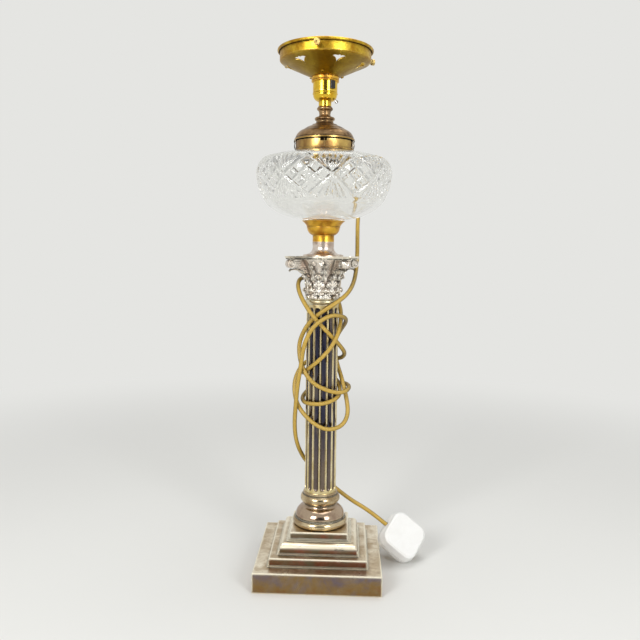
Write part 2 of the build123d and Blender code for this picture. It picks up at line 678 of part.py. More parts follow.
def adaptor_dome():
    """Spun dome over the collar, holed at the back for the flex and at the crown for the stem."""
    z = DOME_Z
    top = STEM_Z
    wall = DOME_WALL
    lip = DOME_LIP_RADIUS
    crown = STEM_BEAD_RADIUS - 1.8
    dome = turned(
        (lip - wall, z),
        ((lip, z),),
        ((lip, z + 1.6),),
        ((lip - 0.9, z + 2.2),),
        ((lip - 3.4, z + 7.6), (lip - 9.8, z + 12.0)),
        ((lip - 14.5, z + 15.0), (lip - 19.4, z + 16.9)),
        ((lip - 20.2, z + 18.0),),
        ((crown + 1.2, z + 19.0), (crown, top)),
        ((NIPPLE_RADIUS + RUNNING_GAP, top),),
        ((NIPPLE_RADIUS + RUNNING_GAP, top - 2.0),),
        ((crown - 1.4, top - 2.4),),
        ((lip - 19.8 - wall, z + 15.8),),
        ((lip - 15.2, z + 13.6), (lip - 10.6, z + 10.8)),
        ((lip - 4.7, z + 6.9), (lip - wall, z + 1.8)),
    )
    hole = exit_plane() * Pos(0, 0, -4) * Cylinder(BUSH_RADIUS + RUNNING_GAP, 14)
    return dome - hole


def flex_bush():
    """Flanged bush that lines the hole in the dome."""
    bush = Pos(0, 0, -2.0) * Cylinder(BUSH_RADIUS, 7.0) + Pos(0, 0, 2.2) * Cylinder(BUSH_RADIUS + 1.2, 1.4)
    return exit_plane() * (bush - Cylinder(FLEX_DIAMETER / 2 + FLEX_GAP, 20))


def adaptor_stem():
    """Turned stem on the dome: bead, waist, bead and a seat for the lampholder."""
    z = STEM_Z
    top = HOLDER_Z
    bead = STEM_BEAD_RADIUS
    return turned(
        (NIPPLE_RADIUS + RUNNING_GAP, z),
        ((bead - 2.0, z),),
        ((bead - 1.4, z + 1.4),),
        ((bead, z + 3.0), (bead - 1.2, z + 4.7)),
        ((bead - 4.6, z + 6.4), (bead - 4.9, z + 9.6)),
        ((bead - 4.5, z + 11.4), (bead - 3.4, z + 12.6)),
        ((bead - 2.4, z + 14.2), (bead - 3.4, z + 15.8)),
        ((bead - 4.1, top),),
        ((NIPPLE_RADIUS + RUNNING_GAP, top),),
    )


def nipple_foot():
    """Lower end of the screwed nipple, inside the dome."""
    return STEM_Z - 10.0


def threaded_nipple():
    """Hollow screwed rod that joins the dome, the stem and the lampholder and carries the cores."""
    return tube(NIPPLE_RADIUS, NIPPLE_BORE, nipple_foot(), HOLDER_Z + 6.5 - nipple_foot())


def nipple_nut():
    """Hexagon nut under the dome's crown."""
    thickness = 3.0
    hexagon = RegularPolygon(7.0, 6, major_radius=False)
    nut = extrude(Pos(0, 0, STEM_Z - 2.4 - thickness) * hexagon, amount=thickness)
    return nut - rod(NIPPLE_RADIUS + RUNNING_GAP, STEM_Z - 10, 12)


def collar_springs():
    """Two leaf clips that hold the dome down on the collar, left and right."""
    z = COLLAR_Z + 2.6
    top = DOME_Z - SEAT_GAP
    near = COLLAR_RADIUS + SEAT_GAP
    strip = section(
        (near, z),
        ((near + 0.6, z),),
        ((near + 1.6, z + 3.5), (near + 0.9, z + 6.0)),
        ((near + 1.9, top - 0.7),),
        ((near + 1.9, top),),
        ((near + 0.9, top),),
        ((near + 0.1, z + 6.2),),
        ((near + 0.7, z + 3.5), (near, z + 0.8)),
    )
    clip = extrude(strip, amount=2.6, both=True)
    return [Rot(0, 0, 186) * clip, Rot(0, 0, -14) * clip]


# ---- Lampholder ----------------------------------------------------------------------------
def holder_cap():
    """Domed cap of the lampholder, screwed on the nipple."""
    z = HOLDER_Z
    top = BARREL_Z
    wall = HOLDER_WALL
    neck = 7.2
    radius = HOLDER_RADIUS
    cap = turned(
        (NIPPLE_RADIUS + RUNNING_GAP, z),
        ((neck, z),),
        ((neck, z + 5.4),),
        ((radius - 2.4, z + 7.4), (radius - 0.3, z + 12.6)),
        ((radius + 0.4, z + 13.6), (radius - 0.3, z + 14.6)),
        ((radius, z + 15.2),),
        ((radius, top),),
        ((radius - wall, top),),
        ((radius - wall - 0.4, z + 12.6),),
        ((radius - 3.3, z + 8.4), (neck - wall, z + 6.6)),
        ((NIPPLE_RADIUS + RUNNING_GAP, z + 6.6),),
    )
    return cap - earth_screw_place() * Cylinder(1.15, 12)


def earth_screw_place():
    """Seat of the small screw on the cap's shoulder; local Z points out of the screw's head."""
    turn = Rot(0, 0, -12)
    return turn * Pos(HOLDER_RADIUS - 2.6, 0, HOLDER_Z + 7.3) * Rot(0, 142, 0)


def earth_screw():
    """Steel screw with a cheese head and a slot."""
    shank = Pos(0, 0, 0.6) * Cylinder(1.1, 4.4)
    head = Pos(0, 0, 3.7) * Cylinder(1.9, 1.8)
    slot = Pos(0, 0, 4.5) * Box(5.0, 0.5, 0.8)
    return earth_screw_place() * (shank + head - slot)


def bar_frame():
    """Middle of the switch bar on the lamp's axis; local X points to the end that shows."""
    return Pos(0, 0, BAR_Z + BAR_HEIGHT / 2) * Rot(0, 0, BAR_AZIMUTH)


def bar_slot(gap):
    """Straight tunnel for the switch bar, right through the lampholder."""
    return bar_frame() * Box(4 * HOLDER_RADIUS, BAR_WIDTH + 2 * gap, BAR_HEIGHT + 2 * gap)


def holder_barrel():
    """Outer barrel with its bead and a window at each end of the switch bar."""
    z = BARREL_Z
    top = z + BARREL_LENGTH
    radius = HOLDER_RADIUS
    barrel = turned(
        (radius - HOLDER_WALL, z),
        ((radius, z),),
        ((radius, top - 0.6),),
        ((radius - 0.3, top),),
        ((radius - HOLDER_WALL, top),),
    )
    return barrel - bar_slot(RUNNING_GAP)


def holder_insert():
    """Moulded block with the switch bar's tunnel and the two plunger wells."""
    z = BARREL_Z + 0.6
    radius = HOLDER_RADIUS - HOLDER_WALL - SEAT_GAP
    block = rod(radius, z, INSERT_TOP_Z - z)
    well_depth = 6.2
    wells = []
    for side in (1, -1):
        place = Pos(0, side * PLUNGER_SPACING / 2, 0)
        wells.append(place * rod(PLUNGER_RADIUS + RUNNING_GAP, INSERT_TOP_Z - 1.5, 2.5))
        wells.append(place * rod(PLUNGER_RADIUS + 0.8, INSERT_TOP_Z - 1.5 - well_depth, well_depth))
    return block - bar_slot(RUNNING_GAP) - [Rot(0, 0, BAR_AZIMUTH) * well for well in wells]


def plunger(side):
    """Brass contact plunger with the shoulder that keeps it in its well."""
    place = Rot(0, 0, BAR_AZIMUTH) * Pos(0, side * PLUNGER_SPACING / 2, 0)
    shoulder = rod(PLUNGER_RADIUS + 0.8 - RUNNING_GAP, INSERT_TOP_Z - 1.5 - 1.06, 1.0)
    pin = rod(PLUNGER_RADIUS, INSERT_TOP_Z - 1.6, PLUNGER_PROUD + 1.6)
    pin = fillet(pin.edges().sort_by(Axis.Z)[-1], 0.9)
    return place * (shoulder + pin)


def plunger_spring(side):
    """Coil spring under one plunger, closed up to a helix of five turns."""
    wire = 0.25
    bottom = INSERT_TOP_Z - 1.5 - 6.2 + wire
    top = INSERT_TOP_Z - 1.5 - 1.06 - wire
    coil = Helix((top - bottom) / 4.0, top - bottom, PLUNGER_RADIUS - 0.2)
    start = coil @ 0
    ring = Plane(origin=start, z_dir=coil % 0) * Circle(wire)
    place = Rot(0, 0, BAR_AZIMUTH) * Pos(0, side * PLUNGER_SPACING / 2, bottom)
    return place * sweep(ring, path=coil, is_frenet=True)


def switch_bar():
    """Push bar that runs right through the insert and stands proud at one end."""
    length = 2 * HOLDER_RADIUS + BAR_PROUD + 0.4
    bar = Pos(BAR_PROUD / 2 - 0.2, 0, 0) * Box(length, BAR_WIDTH, BAR_HEIGHT)
    return bar_frame() * fillet(bar.edges().filter_by(Axis.Z), 0.8)


def holder_liner():
    """Inner sleeve that takes the lamp's bayonet cap, with its two hooked slots."""
    z = INSERT_TOP_Z
    outer = HOLDER_RADIUS - HOLDER_WALL - SEAT_GAP
    sleeve = tube(outer, LINER_BORE, z, LINER_LENGTH - 0.4)
    sleeve = sleeve - rod(LINER_BORE + 0.4, z, PLUNGER_PROUD + 0.6)
    slot = Pos(outer, 0, z + LINER_LENGTH - 4.0) * Box(6.0, 2.6, 8.0)
    hook = Pos(outer, 1.6, z + LINER_LENGTH - 6.9) * Box(6.0, 4.6, 2.6)
    return sleeve - around(slot + hook, 2, BAR_AZIMUTH)


def shade_ring_lower():
    """Screwed ring under the gallery: a bead below and a notched rim above."""
    z = RING_Z
    top = GALLERY_Z
    radius = RING_RADIUS
    ring = turned(
        (HOLDER_RADIUS + RUNNING_GAP, z),
        ((radius - 0.7, z),),
        ((radius, z + 0.9), (radius - 0.5, z + 1.9)),
        ((radius - 0.1, z + 2.5),),
        ((radius, top - 1.2),),
        ((radius - 0.4, top),),
        ((HOLDER_RADIUS + RUNNING_GAP, top),),
    )
    notch = Pos(radius + 1.2, 0, top - 0.2) * Cylinder(1.9, 2.6)
    return ring - around(notch, 12, 8.0)


def shade_ring_upper():
    """Second ring, inside the bowl, that clamps the gallery down."""
    z = GALLERY_Z + GALLERY_SHEET
    ring = tube(RING_RADIUS + 0.1, HOLDER_RADIUS + RUNNING_GAP, z, 4.6)
    notch = Pos(RING_RADIUS + 1.1, 0, z + 2.3) * Cylinder(1.6, 6.0)
    return ring - around(notch, 12)


# ---- Shade gallery -------------------------------------------------------------------------
def gallery_slope(radius):
    """Level of the cone's underside at a radius."""
    run = GALLERY_RADIUS - RING_RADIUS - 0.6
    return GALLERY_Z + GALLERY_CONE_HEIGHT * (radius - RING_RADIUS - 0.6) / run


def piercing():
    """Winged, pointed cut-out of the cone, on the +X side."""
    inner = 33.0
    wing = 42.4
    outer = 45.2
    half = 7.6
    edges = [
        ThreePointArc((inner, 0), (inner + 4.6, 1.5), (wing - 2.0, 4.6)),
        Line((wing - 2.0, 4.6), (wing - 0.6, half)),
        ThreePointArc((wing - 0.6, half), (wing + 1.7, 4.4), (wing + 1.2, 1.6)),
        Line((wing + 1.2, 1.6), (outer, 0)),
        Line((outer, 0), (wing + 1.2, -1.6)),
        ThreePointArc((wing + 1.2, -1.6), (wing + 1.7, -4.4), (wing - 0.6, -half)),
        Line((wing - 0.6, -half), (wing - 2.0, -4.6)),
        ThreePointArc((wing - 2.0, -4.6), (inner + 4.6, -1.5), (inner, 0)),
    ]
    return extrude(Pos(0, 0, GALLERY_Z - 1) * make_face(edges), amount=GALLERY_CONE_HEIGHT + 4, dir=(0, 0, 1))


def thumbscrew_level():
    """Height of the thumbscrews, on the gallery's band."""
    return GALLERY_Z + GALLERY_CONE_HEIGHT + 0.45 * GALLERY_BAND_HEIGHT


def thumbscrew_hole():
    place = Pos(GALLERY_RADIUS, 0, thumbscrew_level()) * Rot(0, 90, 0)
    return place * Cylinder(THUMBSCREW_RADIUS + RUNNING_GAP, 20)


def gallery():
    """Pierced conical gallery with an upright band and a rolled lip."""
    sheet = GALLERY_SHEET
    z = GALLERY_Z
    band_z = z + GALLERY_CONE_HEIGHT
    top = band_z + GALLERY_BAND_HEIGHT
    seat = RING_RADIUS + 0.6
    outer = GALLERY_RADIUS
    lip = outer + GALLERY_LIP_ROLL
    bowl = turned(
        (HOLDER_RADIUS + SEAT_GAP, z),
        ((seat, z),),
        ((outer - 1.0, band_z - 0.4),),
        ((outer, band_z + 0.6),),
        ((outer, top - 2 * GALLERY_LIP_ROLL),),
        ((lip + 1.3, top - GALLERY_LIP_ROLL), (lip, top)),
        ((outer, top),),
        ((outer - sheet, top - 1.0),),
        ((outer - sheet, band_z + 1.0),),
        ((outer - sheet - 0.8, band_z + 0.4),),
        ((seat - 0.4, z + sheet),),
        ((HOLDER_RADIUS + SEAT_GAP, z + sheet),),
    )
    bowl = bowl - around(piercing(), PIERCING_COUNT, PIERCING_TURN)
    return bowl - around(thumbscrew_hole(), THUMBSCREW_COUNT, THUMBSCREW_TURN)


def gallery_rivet():
    """Round-headed rivet through the cone near its seat, on the +X side."""
    radius = RING_RADIUS + 5.0
    angle = -math.degrees(math.atan2(GALLERY_CONE_HEIGHT, GALLERY_RADIUS - RING_RADIUS - 0.6))
    head = Pos(0, 0, -0.9) * Cylinder(1.7, 1.3)
    head = fillet(head.edges().sort_by(Axis.Z)[0], 0.9)
    return Pos(radius, 0, gallery_slope(radius)) * Rot(0, angle, 0) * Pos(0, 0, 0.2) * head


def thumbscrew():
    """Round-headed screw in the band, on the +X side, its point flush with the inside."""
    standing = (Align.CENTER, Align.CENTER, Align.MIN)
    tip = GALLERY_RADIUS - GALLERY_SHEET + 0.1
    collar = GALLERY_RADIUS + THUMBSCREW_TRAVEL + SEAT_GAP
    shank = Pos(0, 0, tip) * Cylinder(THUMBSCREW_RADIUS, collar + 1.0 - tip, align=standing)
    neck = Pos(0, 0, collar) * Cylinder(THUMBSCREW_RADIUS + 0.7, 1.4, align=standing)
    head = Pos(0, 0, collar + 1.2) * Cylinder(THUMBSCREW_HEAD_RADIUS, 3.0, align=standing)
    dimple = Pos(0, 0, collar + 4.2) * Cylinder(1.1, 1.0)
    return Pos(0, 0, thumbscrew_level()) * Rot(0, 90, 0) * (shank + neck + head - dimple)


# ---- Flex ----------------------------------------------------------------------------------
def bend_radius(before, corner, after):
    """Largest radius at a corner of the route: each arc takes 0.45 of the shorter of its two runs."""
    arriving = corner - before
    leaving = after - corner
    turn = math.radians(arriving.get_angle(leaving))
    return 0.45 * min(arriving.length, leaving.length) / math.tan(turn / 2)


def flex():
    """Round flex on straight runs joined by tangent arcs."""
    points = [Vector(*point) for point in FLEX_ROUTE]
    radii = [bend_radius(*corner) for corner in zip(points, points[1:], points[2:])]
    path = FilletPolyline(*points, radius=radii)
    ring = Plane(origin=points[0], z_dir=points[1] - points[0]) * Circle(FLEX_DIAMETER / 2)
    cable = sweep(ring, path=path)
    print("flex radii, mm:", [round(radius) for radius in sorted(radii)])
    section_area = math.pi * FLEX_DIAMETER ** 2 / 4
    print("flex length, mm:", round(path.length), "volume / (section x length):",
          round(cable.volume / (section_area * path.length), 4))
    return cable


# ---- Plug ----------------------------------------------------------------------------------
def plug_plane():
    """Plane of the plug's outer face: local X towards the earth pin, local Z out of the face."""
    return Plane(origin=PLUG_FACE_CENTRE, x_dir=PLUG_LENGTHWISE, z_dir=PLUG_OUTWARD)


def plug_slab(side, bottom, depth):
    """Round-cornered slab of the plug, in the plug's own frame."""
    outline = RectangleRounded(side, side, 0.26 * side)
    return extrude(Pos(0, 0, bottom) * outline, amount=depth)


def flex_entry():
    """Level of the flex in the plug's own frame, at the joint of base and cover."""
    return -PLUG_COVER_DEPTH


def entry_hole():
    return Pos(-PLUG_SIDE / 2, 0, flex_entry()) * Rot(0, 90, 0) * Cylinder(FLEX_DIAMETER / 2 + ENTRY_GAP, 16)


def plug_base():
    """Moulded base that carries the pins."""
    depth = PLUG_COVER_DEPTH + PLUG_BASE_DEPTH
    base = plug_slab(PLUG_SIDE, -depth, PLUG_BASE_DEPTH)
    base = fillet(base.faces().sort_by(Axis.Z)[0].edges(), 1.2)
    waist = plug_slab(PLUG_SIDE - 1.6, -PLUG_COVER_DEPTH - 0.9, 0.9)
    rim = plug_slab(PLUG_SIDE + 1, -PLUG_COVER_DEPTH - 0.9, 0.9) - waist
    for place in pin_places():
        base = base - place * Box(8.6, 8.6, 5, align=(Align.CENTER, Align.CENTER, Align.MIN))
    recess = Pos(0, 0, -depth) * Cylinder(PLUG_SCREW_RADIUS + SEAT_GAP, 2 * PLUG_RECESS)
    return plug_plane() * (base - rim - recess - entry_hole())


def plug_cover():
    """Crowned cover, drawn in towards its face."""
    foot = Pos(0, 0, -PLUG_COVER_DEPTH) * RectangleRounded(PLUG_SIDE - 0.4, PLUG_SIDE - 0.4, 0.26 * PLUG_SIDE)
    face = Pos(0, 0, -1.5) * RectangleRounded(PLUG_FACE_SIDE, PLUG_FACE_SIDE, 0.26 * PLUG_FACE_SIDE)
    crown = RectangleRounded(PLUG_FACE_SIDE - 4, PLUG_FACE_SIDE - 4, 0.26 * PLUG_FACE_SIDE)
    cover = loft([foot, face]) + loft([face, crown])
    return plug_plane() * (cover - entry_hole())


def pin_places():
    """Feet of the earth pin and the two line pins on the underside, in the plug's own frame."""
    under = -PLUG_COVER_DEPTH - PLUG_BASE_DEPTH
    earth_x = PLUG_SIDE / 2 - 10.0
    line_x = earth_x - PIN_ROW_GAP
    half = LINE_PIN_GAP / 2
    return [Pos(earth_x, 0, under), Pos(line_x, half, under), Pos(line_x, -half, under)]


def plug_pin(place, along, across, length):
    """One flat pin with a chamfered tip; it stands 5 mm inside the base."""
    pin = Box(along, across, length + 5, align=(Align.CENTER, Align.CENTER, Align.MAX))
    pin = chamfer(pin.faces().sort_by(Axis.Z)[0].edges(), 0.9)
    flange = Box(8.5, 8.5, 4.9, align=(Align.CENTER, Align.CENTER, Align.MAX))
    return plug_plane() * place * Pos(0, 0, 5) * (pin + flange)


def plug_screw():
    """Cover screw, sunk in the middle of the base."""
    seat = -PLUG_COVER_DEPTH - PLUG_BASE_DEPTH + PLUG_RECESS
    head = Cylinder(PLUG_SCREW_RADIUS, 1.4, align=(Align.CENTER, Align.CENTER, Align.MAX))
    slot = Pos(0, 0, -1.4) * Box(3 * PLUG_SCREW_RADIUS, 0.8, 1.4)
    return plug_plane() * Pos(0, 0, seat) * (head - slot)


def build():
    """Write every node."""
    os.makedirs("parts", exist_ok=True)
    save("base_casting", base_casting())
    save("base_ballast", ballast())
    save("base_pad", base_pad())
    save("rod_washer", rod_washer())
    save("rod_nut", rod_nut())
    save("tie_rod", tie_rod())
    save("column_base", column_base())
    save("column_shaft", column_shaft())
    save("neck_ring", neck_ring())
    save("capital", capital())
    save("abacus", abacus())
    save("font_socket", font_socket())
    save("font_cup", font_cup())
    save("glass_font", glass_font())
    save("bayonet_collar", bayonet_collar())
    save("collar_springs", collar_springs())
    save("adaptor_skirt", adaptor_skirt())
    save("adaptor_dome", adaptor_dome())
    save("adaptor_stem", adaptor_stem())
    save("flex_bush", flex_bush())
    save("threaded_nipple", threaded_nipple())
    save("nipple_nut", nipple_nut())
    save("holder_cap", holder_cap())
    save("holder_barrel", holder_barrel())
    save("holder_insert", holder_insert())
    save("holder_liner", holder_liner())
    save("earth_screw", earth_screw())
    save("switch_bar", switch_bar())
    save("plunger_left", plunger(1))
    save("plunger_right", plunger(-1))
    save("spring_left", plunger_spring(1))
    save("spring_right", plunger_spring(-1))
    save("shade_ring_lower", shade_ring_lower())
    save("shade_ring_upper", shade_ring_upper())
    save("gallery", gallery())
    save("gallery_rivets", around(gallery_rivet(), THUMBSCREW_COUNT, -96.0))
    screws = around(thumbscrew(), THUMBSCREW_COUNT, THUMBSCREW_TURN)
    for name, screw in zip(("front", "right", "left"), screws):
        save("thumbscrew_" + name, screw)
    save("flex", flex())
    save("plug_base", plug_base())
    save("plug_cover", plug_cover())
    places = pin_places()
    save("plug_earth_pin", plug_pin(places[0], 4.0, 8.0, EARTH_PIN_LENGTH))
    save("plug_line_pins", [plug_pin(place, 6.35, 4.0, LINE_PIN_LENGTH) for place in places[1:]])
    save("plug_screw", plug_screw())


build()
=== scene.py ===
"""Looks of the column table lamp: its finishes, cut-glass font, carved capital, flex and studio."""

import math
from functools import partial

import bpy
import numpy as np
from bpy.props import FloatProperty, FloatVectorProperty, IntProperty, PointerProperty
from mathutils import Matrix, Vector


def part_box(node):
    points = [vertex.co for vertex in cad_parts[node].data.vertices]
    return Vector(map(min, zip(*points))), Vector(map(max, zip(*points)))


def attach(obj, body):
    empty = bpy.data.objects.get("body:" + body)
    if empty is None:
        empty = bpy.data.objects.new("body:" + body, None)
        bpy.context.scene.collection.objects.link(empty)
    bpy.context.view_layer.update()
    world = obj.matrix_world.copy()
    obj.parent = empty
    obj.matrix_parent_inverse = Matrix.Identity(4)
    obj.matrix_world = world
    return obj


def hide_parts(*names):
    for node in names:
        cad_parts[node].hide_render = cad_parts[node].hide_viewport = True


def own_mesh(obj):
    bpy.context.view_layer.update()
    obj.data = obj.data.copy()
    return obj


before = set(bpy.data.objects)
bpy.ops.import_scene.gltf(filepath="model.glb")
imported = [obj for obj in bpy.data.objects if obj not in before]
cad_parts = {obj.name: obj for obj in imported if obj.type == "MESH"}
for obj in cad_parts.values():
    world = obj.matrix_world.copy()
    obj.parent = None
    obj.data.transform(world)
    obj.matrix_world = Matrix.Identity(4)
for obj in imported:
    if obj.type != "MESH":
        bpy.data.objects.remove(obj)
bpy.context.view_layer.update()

bl_info = {
    "name": "Column Table Lamp",
    "version": (1, 0, 0),
    "blender": (4, 5, 0),
    "location": "3D View > Sidebar > Lamp",
    "description": "Finishes, cut-glass font, flex and studio of a column table lamp",
    "category": "Object",
}

# ---- Sizes shared with the CAD model, in metres ----------------------------------------------
FONT_Z = 0.4146
FONT_TOP_Z = 0.4923
FONT_RADIUS = 0.0775
FONT_NECK_RADIUS = 0.0304
FONT_NECK_HEIGHT = 0.007
FONT_MOUTH_RADIUS = 0.026
FONT_WALL = 0.005
FONT_STUB = 0.0076
CUP_LIP_RADIUS = 0.0251
SHAFT_RADIUS = 0.0186
CAPITAL_Z = 0.3254
CAPITAL_HEIGHT = 0.045
CAPITAL_TURN = math.radians(-11.0)
LEAF_PITCH = math.radians(45.0)
FLEX_DIAMETER = 0.005

# The flex's route: out of the dome's back, down behind the font, round the shaft and to the plug.
FLEX_ROUTE = [
    (0.016, 0.029, 0.510), (0.024, 0.043, 0.510), (0.031, 0.057, 0.504), (0.038, 0.069, 0.489),
    (0.042, 0.076, 0.466), (0.042, 0.075, 0.441), (0.040, 0.069, 0.417), (0.040, 0.058, 0.396),
    (0.040, 0.044, 0.376), (0.039, 0.028, 0.358), (0.036, 0.009, 0.343), (0.029, -0.011, 0.331),
    (0.014, -0.022, 0.320), (0.001, -0.023, 0.312), (-0.015, -0.018, 0.299), (-0.026, -0.010, 0.277),
    (-0.026, -0.013, 0.260), (-0.021, -0.019, 0.244), (-0.010, -0.023, 0.229), (0.009, -0.023, 0.220),
    (0.023, -0.017, 0.217), (0.031, -0.009, 0.219), (0.033, 0.002, 0.222), (0.028, 0.013, 0.223),
    (0.017, 0.019, 0.223), (0.003, 0.023, 0.221), (-0.012, 0.020, 0.217), (-0.020, 0.010, 0.211),
    (-0.023, -0.002, 0.207), (-0.019, -0.013, 0.204), (-0.010, -0.020, 0.204), (0.002, -0.023, 0.205),
    (0.014, -0.018, 0.208), (0.021, -0.010, 0.212), (0.022, 0.002, 0.218), (0.019, 0.012, 0.226),
    (0.011, 0.020, 0.231), (-0.003, 0.023, 0.233), (-0.015, 0.017, 0.234), (-0.022, 0.007, 0.236),
    (-0.022, -0.005, 0.238), (-0.016, -0.016, 0.244), (-0.004, -0.024, 0.254), (0.010, -0.027, 0.269),
    (0.019, -0.021, 0.285), (0.022, -0.007, 0.299), (0.021, 0.013, 0.315), (0.013, 0.027, 0.331),
    (0.001, 0.029, 0.340), (-0.011, 0.027, 0.347), (-0.022, 0.018, 0.349), (-0.028, 0.007, 0.347),
    (-0.029, -0.004, 0.339), (-0.024, -0.016, 0.327), (-0.014, -0.025, 0.312), (-0.003, -0.027, 0.299),
    (0.009, -0.021, 0.286), (0.022, -0.011, 0.271), (0.028, 0.002, 0.260), (0.021, 0.014, 0.252),
    (0.005, 0.022, 0.254), (-0.009, 0.021, 0.252), (-0.020, 0.014, 0.248), (-0.028, 0.007, 0.239),
    (-0.033, -0.001, 0.223), (-0.029, -0.009, 0.201), (-0.013, -0.019, 0.184), (0.005, -0.024, 0.175),
    (0.019, -0.021, 0.176), (0.028, -0.017, 0.182), (0.032, -0.012, 0.193), (0.030, -0.006, 0.208),
    (0.024, 0.005, 0.230), (0.016, 0.024, 0.249), (0.014, 0.028, 0.272), (0.021, 0.021, 0.286),
    (0.027, 0.005, 0.296), (0.028, -0.007, 0.303), (0.021, -0.018, 0.307), (0.011, -0.026, 0.308),
    (0.000, -0.032, 0.303), (-0.011, -0.032, 0.293), (-0.020, -0.028, 0.273), (-0.023, -0.024, 0.249),
    (-0.027, -0.021, 0.226), (-0.029, -0.017, 0.203), (-0.031, -0.010, 0.180), (-0.030, -0.002, 0.157),
    (-0.024, 0.009, 0.136), (-0.013, 0.019, 0.118), (0.003, 0.025, 0.101), (0.022, 0.027, 0.085),
    (0.038, 0.027, 0.073), (0.062, 0.025, 0.060), (0.083, 0.024, 0.043),
]

# ---- Camera and lights -----------------------------------------------------------------------
CAMERA_PLACE = (0.0303, -0.7988, 0.3821)
CAMERA_DEGREES = (-2.368, -5.879, 0.689)  # yaw, pitch and roll
CAMERA_LENS = 38.66
CAMERA_SENSOR = 36.0
LIGHT_TARGET = (0, 0, 0.3)


def tone(red, green, blue):
    """Linear colour of a shade given as 0-255 screen values."""
    linear = []
    for value in (red, green, blue):
        share = value / 255
        linear.append(share / 12.92 if share <= 0.04045 else ((share + 0.055) / 1.055) ** 2.4)
    return tuple(linear)


def darker(colour, share):
    """The colour at a share of its lightness."""
    return tuple(channel * share for channel in colour)


def colour_prop(name, description, red, green, blue):
    return FloatVectorProperty(
        name=name, description=description, subtype="COLOR", size=3, min=0, max=1,
        default=tone(red, green, blue))


def length_prop(name, description, default):
    return FloatProperty(
        name=name, description=description, default=default, min=0.0,
        subtype="DISTANCE", unit="LENGTH")


def power_prop(name, description, default):
    return FloatProperty(
        name=name, description=description, default=default, min=0.0, subtype="POWER", unit="POWER")


class LampFinishes(bpy.types.PropertyGroup):
    """Colours of the lamp's metals, glass, mouldings and flex."""

    silver: colour_prop("Silver plate", "Plate where it is whole", 246, 236, 214)
    silver_worn: colour_prop("Rubbed plate", "Bright plate along rubbed edges", 254, 248, 228)
    silver_tarnish: colour_prop("Tarnish", "Brown-olive tarnish over the plate", 174, 150, 116)
    silver_dark: colour_prop("Crevice", "Black-brown in hollows and joints", 34, 27, 24)
    flute: colour_prop("Flute", "Blue-black bottom of the flutes", 20, 30, 66)
    brass: colour_prop("Brass", "Polished brass", 232, 194, 66)
    brass_antique: colour_prop("Antique brass", "Aged brass of the gallery", 226, 192, 66)
    brass_brown: colour_prop("Brass tarnish", "Brown tarnish on aged brass", 104, 66, 26)
    bronze: colour_prop("Bronzed brass", "Brown bronzing of the adaptor", 172, 140, 100)
    steel: colour_prop("Steel", "Bright steel of springs, nuts and screws", 190, 188, 184)
    iron: colour_prop("Cast iron", "Rough iron of the ballast", 70, 66, 62)
    felt: colour_prop("Baize", "Green felt under the base", 58, 84, 58)
    glass: colour_prop("Glass", "Clear lead glass", 252, 252, 250)
    flex: colour_prop("Flex sheath", "Golden-brown sheath of the flex", 196, 162, 74)
    moulding_dark: colour_prop("Dark moulding", "Dark insert and switch bar", 24, 20, 18)
    moulding_white: colour_prop("White moulding", "White plug", 234, 234, 232)


class FontCuts(bpy.types.PropertyGroup):
    """Sizes of the cuts in the glass font."""

    mitre_depth: length_prop("Mitre depth", "Depth of the large crossing cuts", 0.0017)
    mitre_width: length_prop("Mitre width", "Half width of the large crossing cuts", 0.0023)
    fan_depth: length_prop("Fan depth", "Depth of the cuts that fan out", 0.0013)
    fan_width: length_prop("Fan width", "Half width of the cuts that fan out", 0.0021)
    hatch_depth: length_prop("Hatch depth", "Depth of the crossed cuts in the diamonds", 0.0012)
    hatch_width: length_prop("Hatch width", "Half width of the crossed cuts in the diamonds", 0.0017)
    star_depth: length_prop("Star depth", "Depth of the small stars in the diamonds", 0.0005)
    repeats: IntProperty(
        name="Repeats", description="Crossings round the font", default=9, min=3, max=16)


class CapitalCarving(bpy.types.PropertyGroup):
    """Sizes of the capital's chased leaves and scrolls."""

    leaf_width: length_prop("Leaf width", "Width of a leaf of the upper tier", 0.0148)
    leaf_relief: length_prop("Leaf relief", "Height of the midrib and lobes on a leaf", 0.0016)
    leaf_sheet: length_prop("Leaf edge", "Thickness of a leaf at its edge", 0.0007)
    scroll_bead: length_prop("Scroll bead", "Radius of the bead that winds on a scroll", 0.00042)


class StudioStage(bpy.types.PropertyGroup):
    """Background and lights of the studio."""

    paper: colour_prop("Paper", "Pale background and floor", 229, 229, 226)
    key_power: power_prop("Key light", "Power of the soft light at the left", 17.0)
    fill_power: power_prop("Fill light", "Power of the soft light at the right", 12.0)
    top_power: power_prop("Top light", "Power of the soft light overhead", 15.0)
    room_strength: FloatProperty(
        name="Room", description="Strength of the pale room's light", default=0.45, min=0.0)


# ---- Node trees ------------------------------------------------------------------------------
def put(tree, socket, value):
    """Link the value to the socket when it is an output, or else set it."""
    if isinstance(value, bpy.types.NodeSocket):
        tree.links.new(value, socket)
    elif hasattr(value, "__len__") and len(value) == 3 and len(socket.default_value) == 4:
        socket.default_value = (*value, 1.0)
    else:
        socket.default_value = value


def add(tree, kind, inputs=None, **settings):
    """Add a node with its settings, and fill the named or numbered inputs."""
    node = tree.nodes.new("ShaderNode" + kind)
    for name, value in settings.items():
        setattr(node, name, value)
    for key, value in (inputs or {}).items():
        put(tree, node.inputs[key], value)
    return node


def calc(tree, operation, *values, clamp=False):
    """Result of a Math node on the values."""
    node = add(tree, "Math", dict(enumerate(values)), operation=operation, use_clamp=clamp)
    return node.outputs[0]


def times(tree, first, second):
    """Product of the two values."""
    return calc(tree, "MULTIPLY", first, second)


def rises(tree, value, low, high):
    """Smooth rise from 0 at low to 1 at high."""
    node = add(tree, "MapRange", {"Value": value, "From Min": low, "From Max": high},
               interpolation_type="SMOOTHSTEP")
    return node.outputs["Result"]


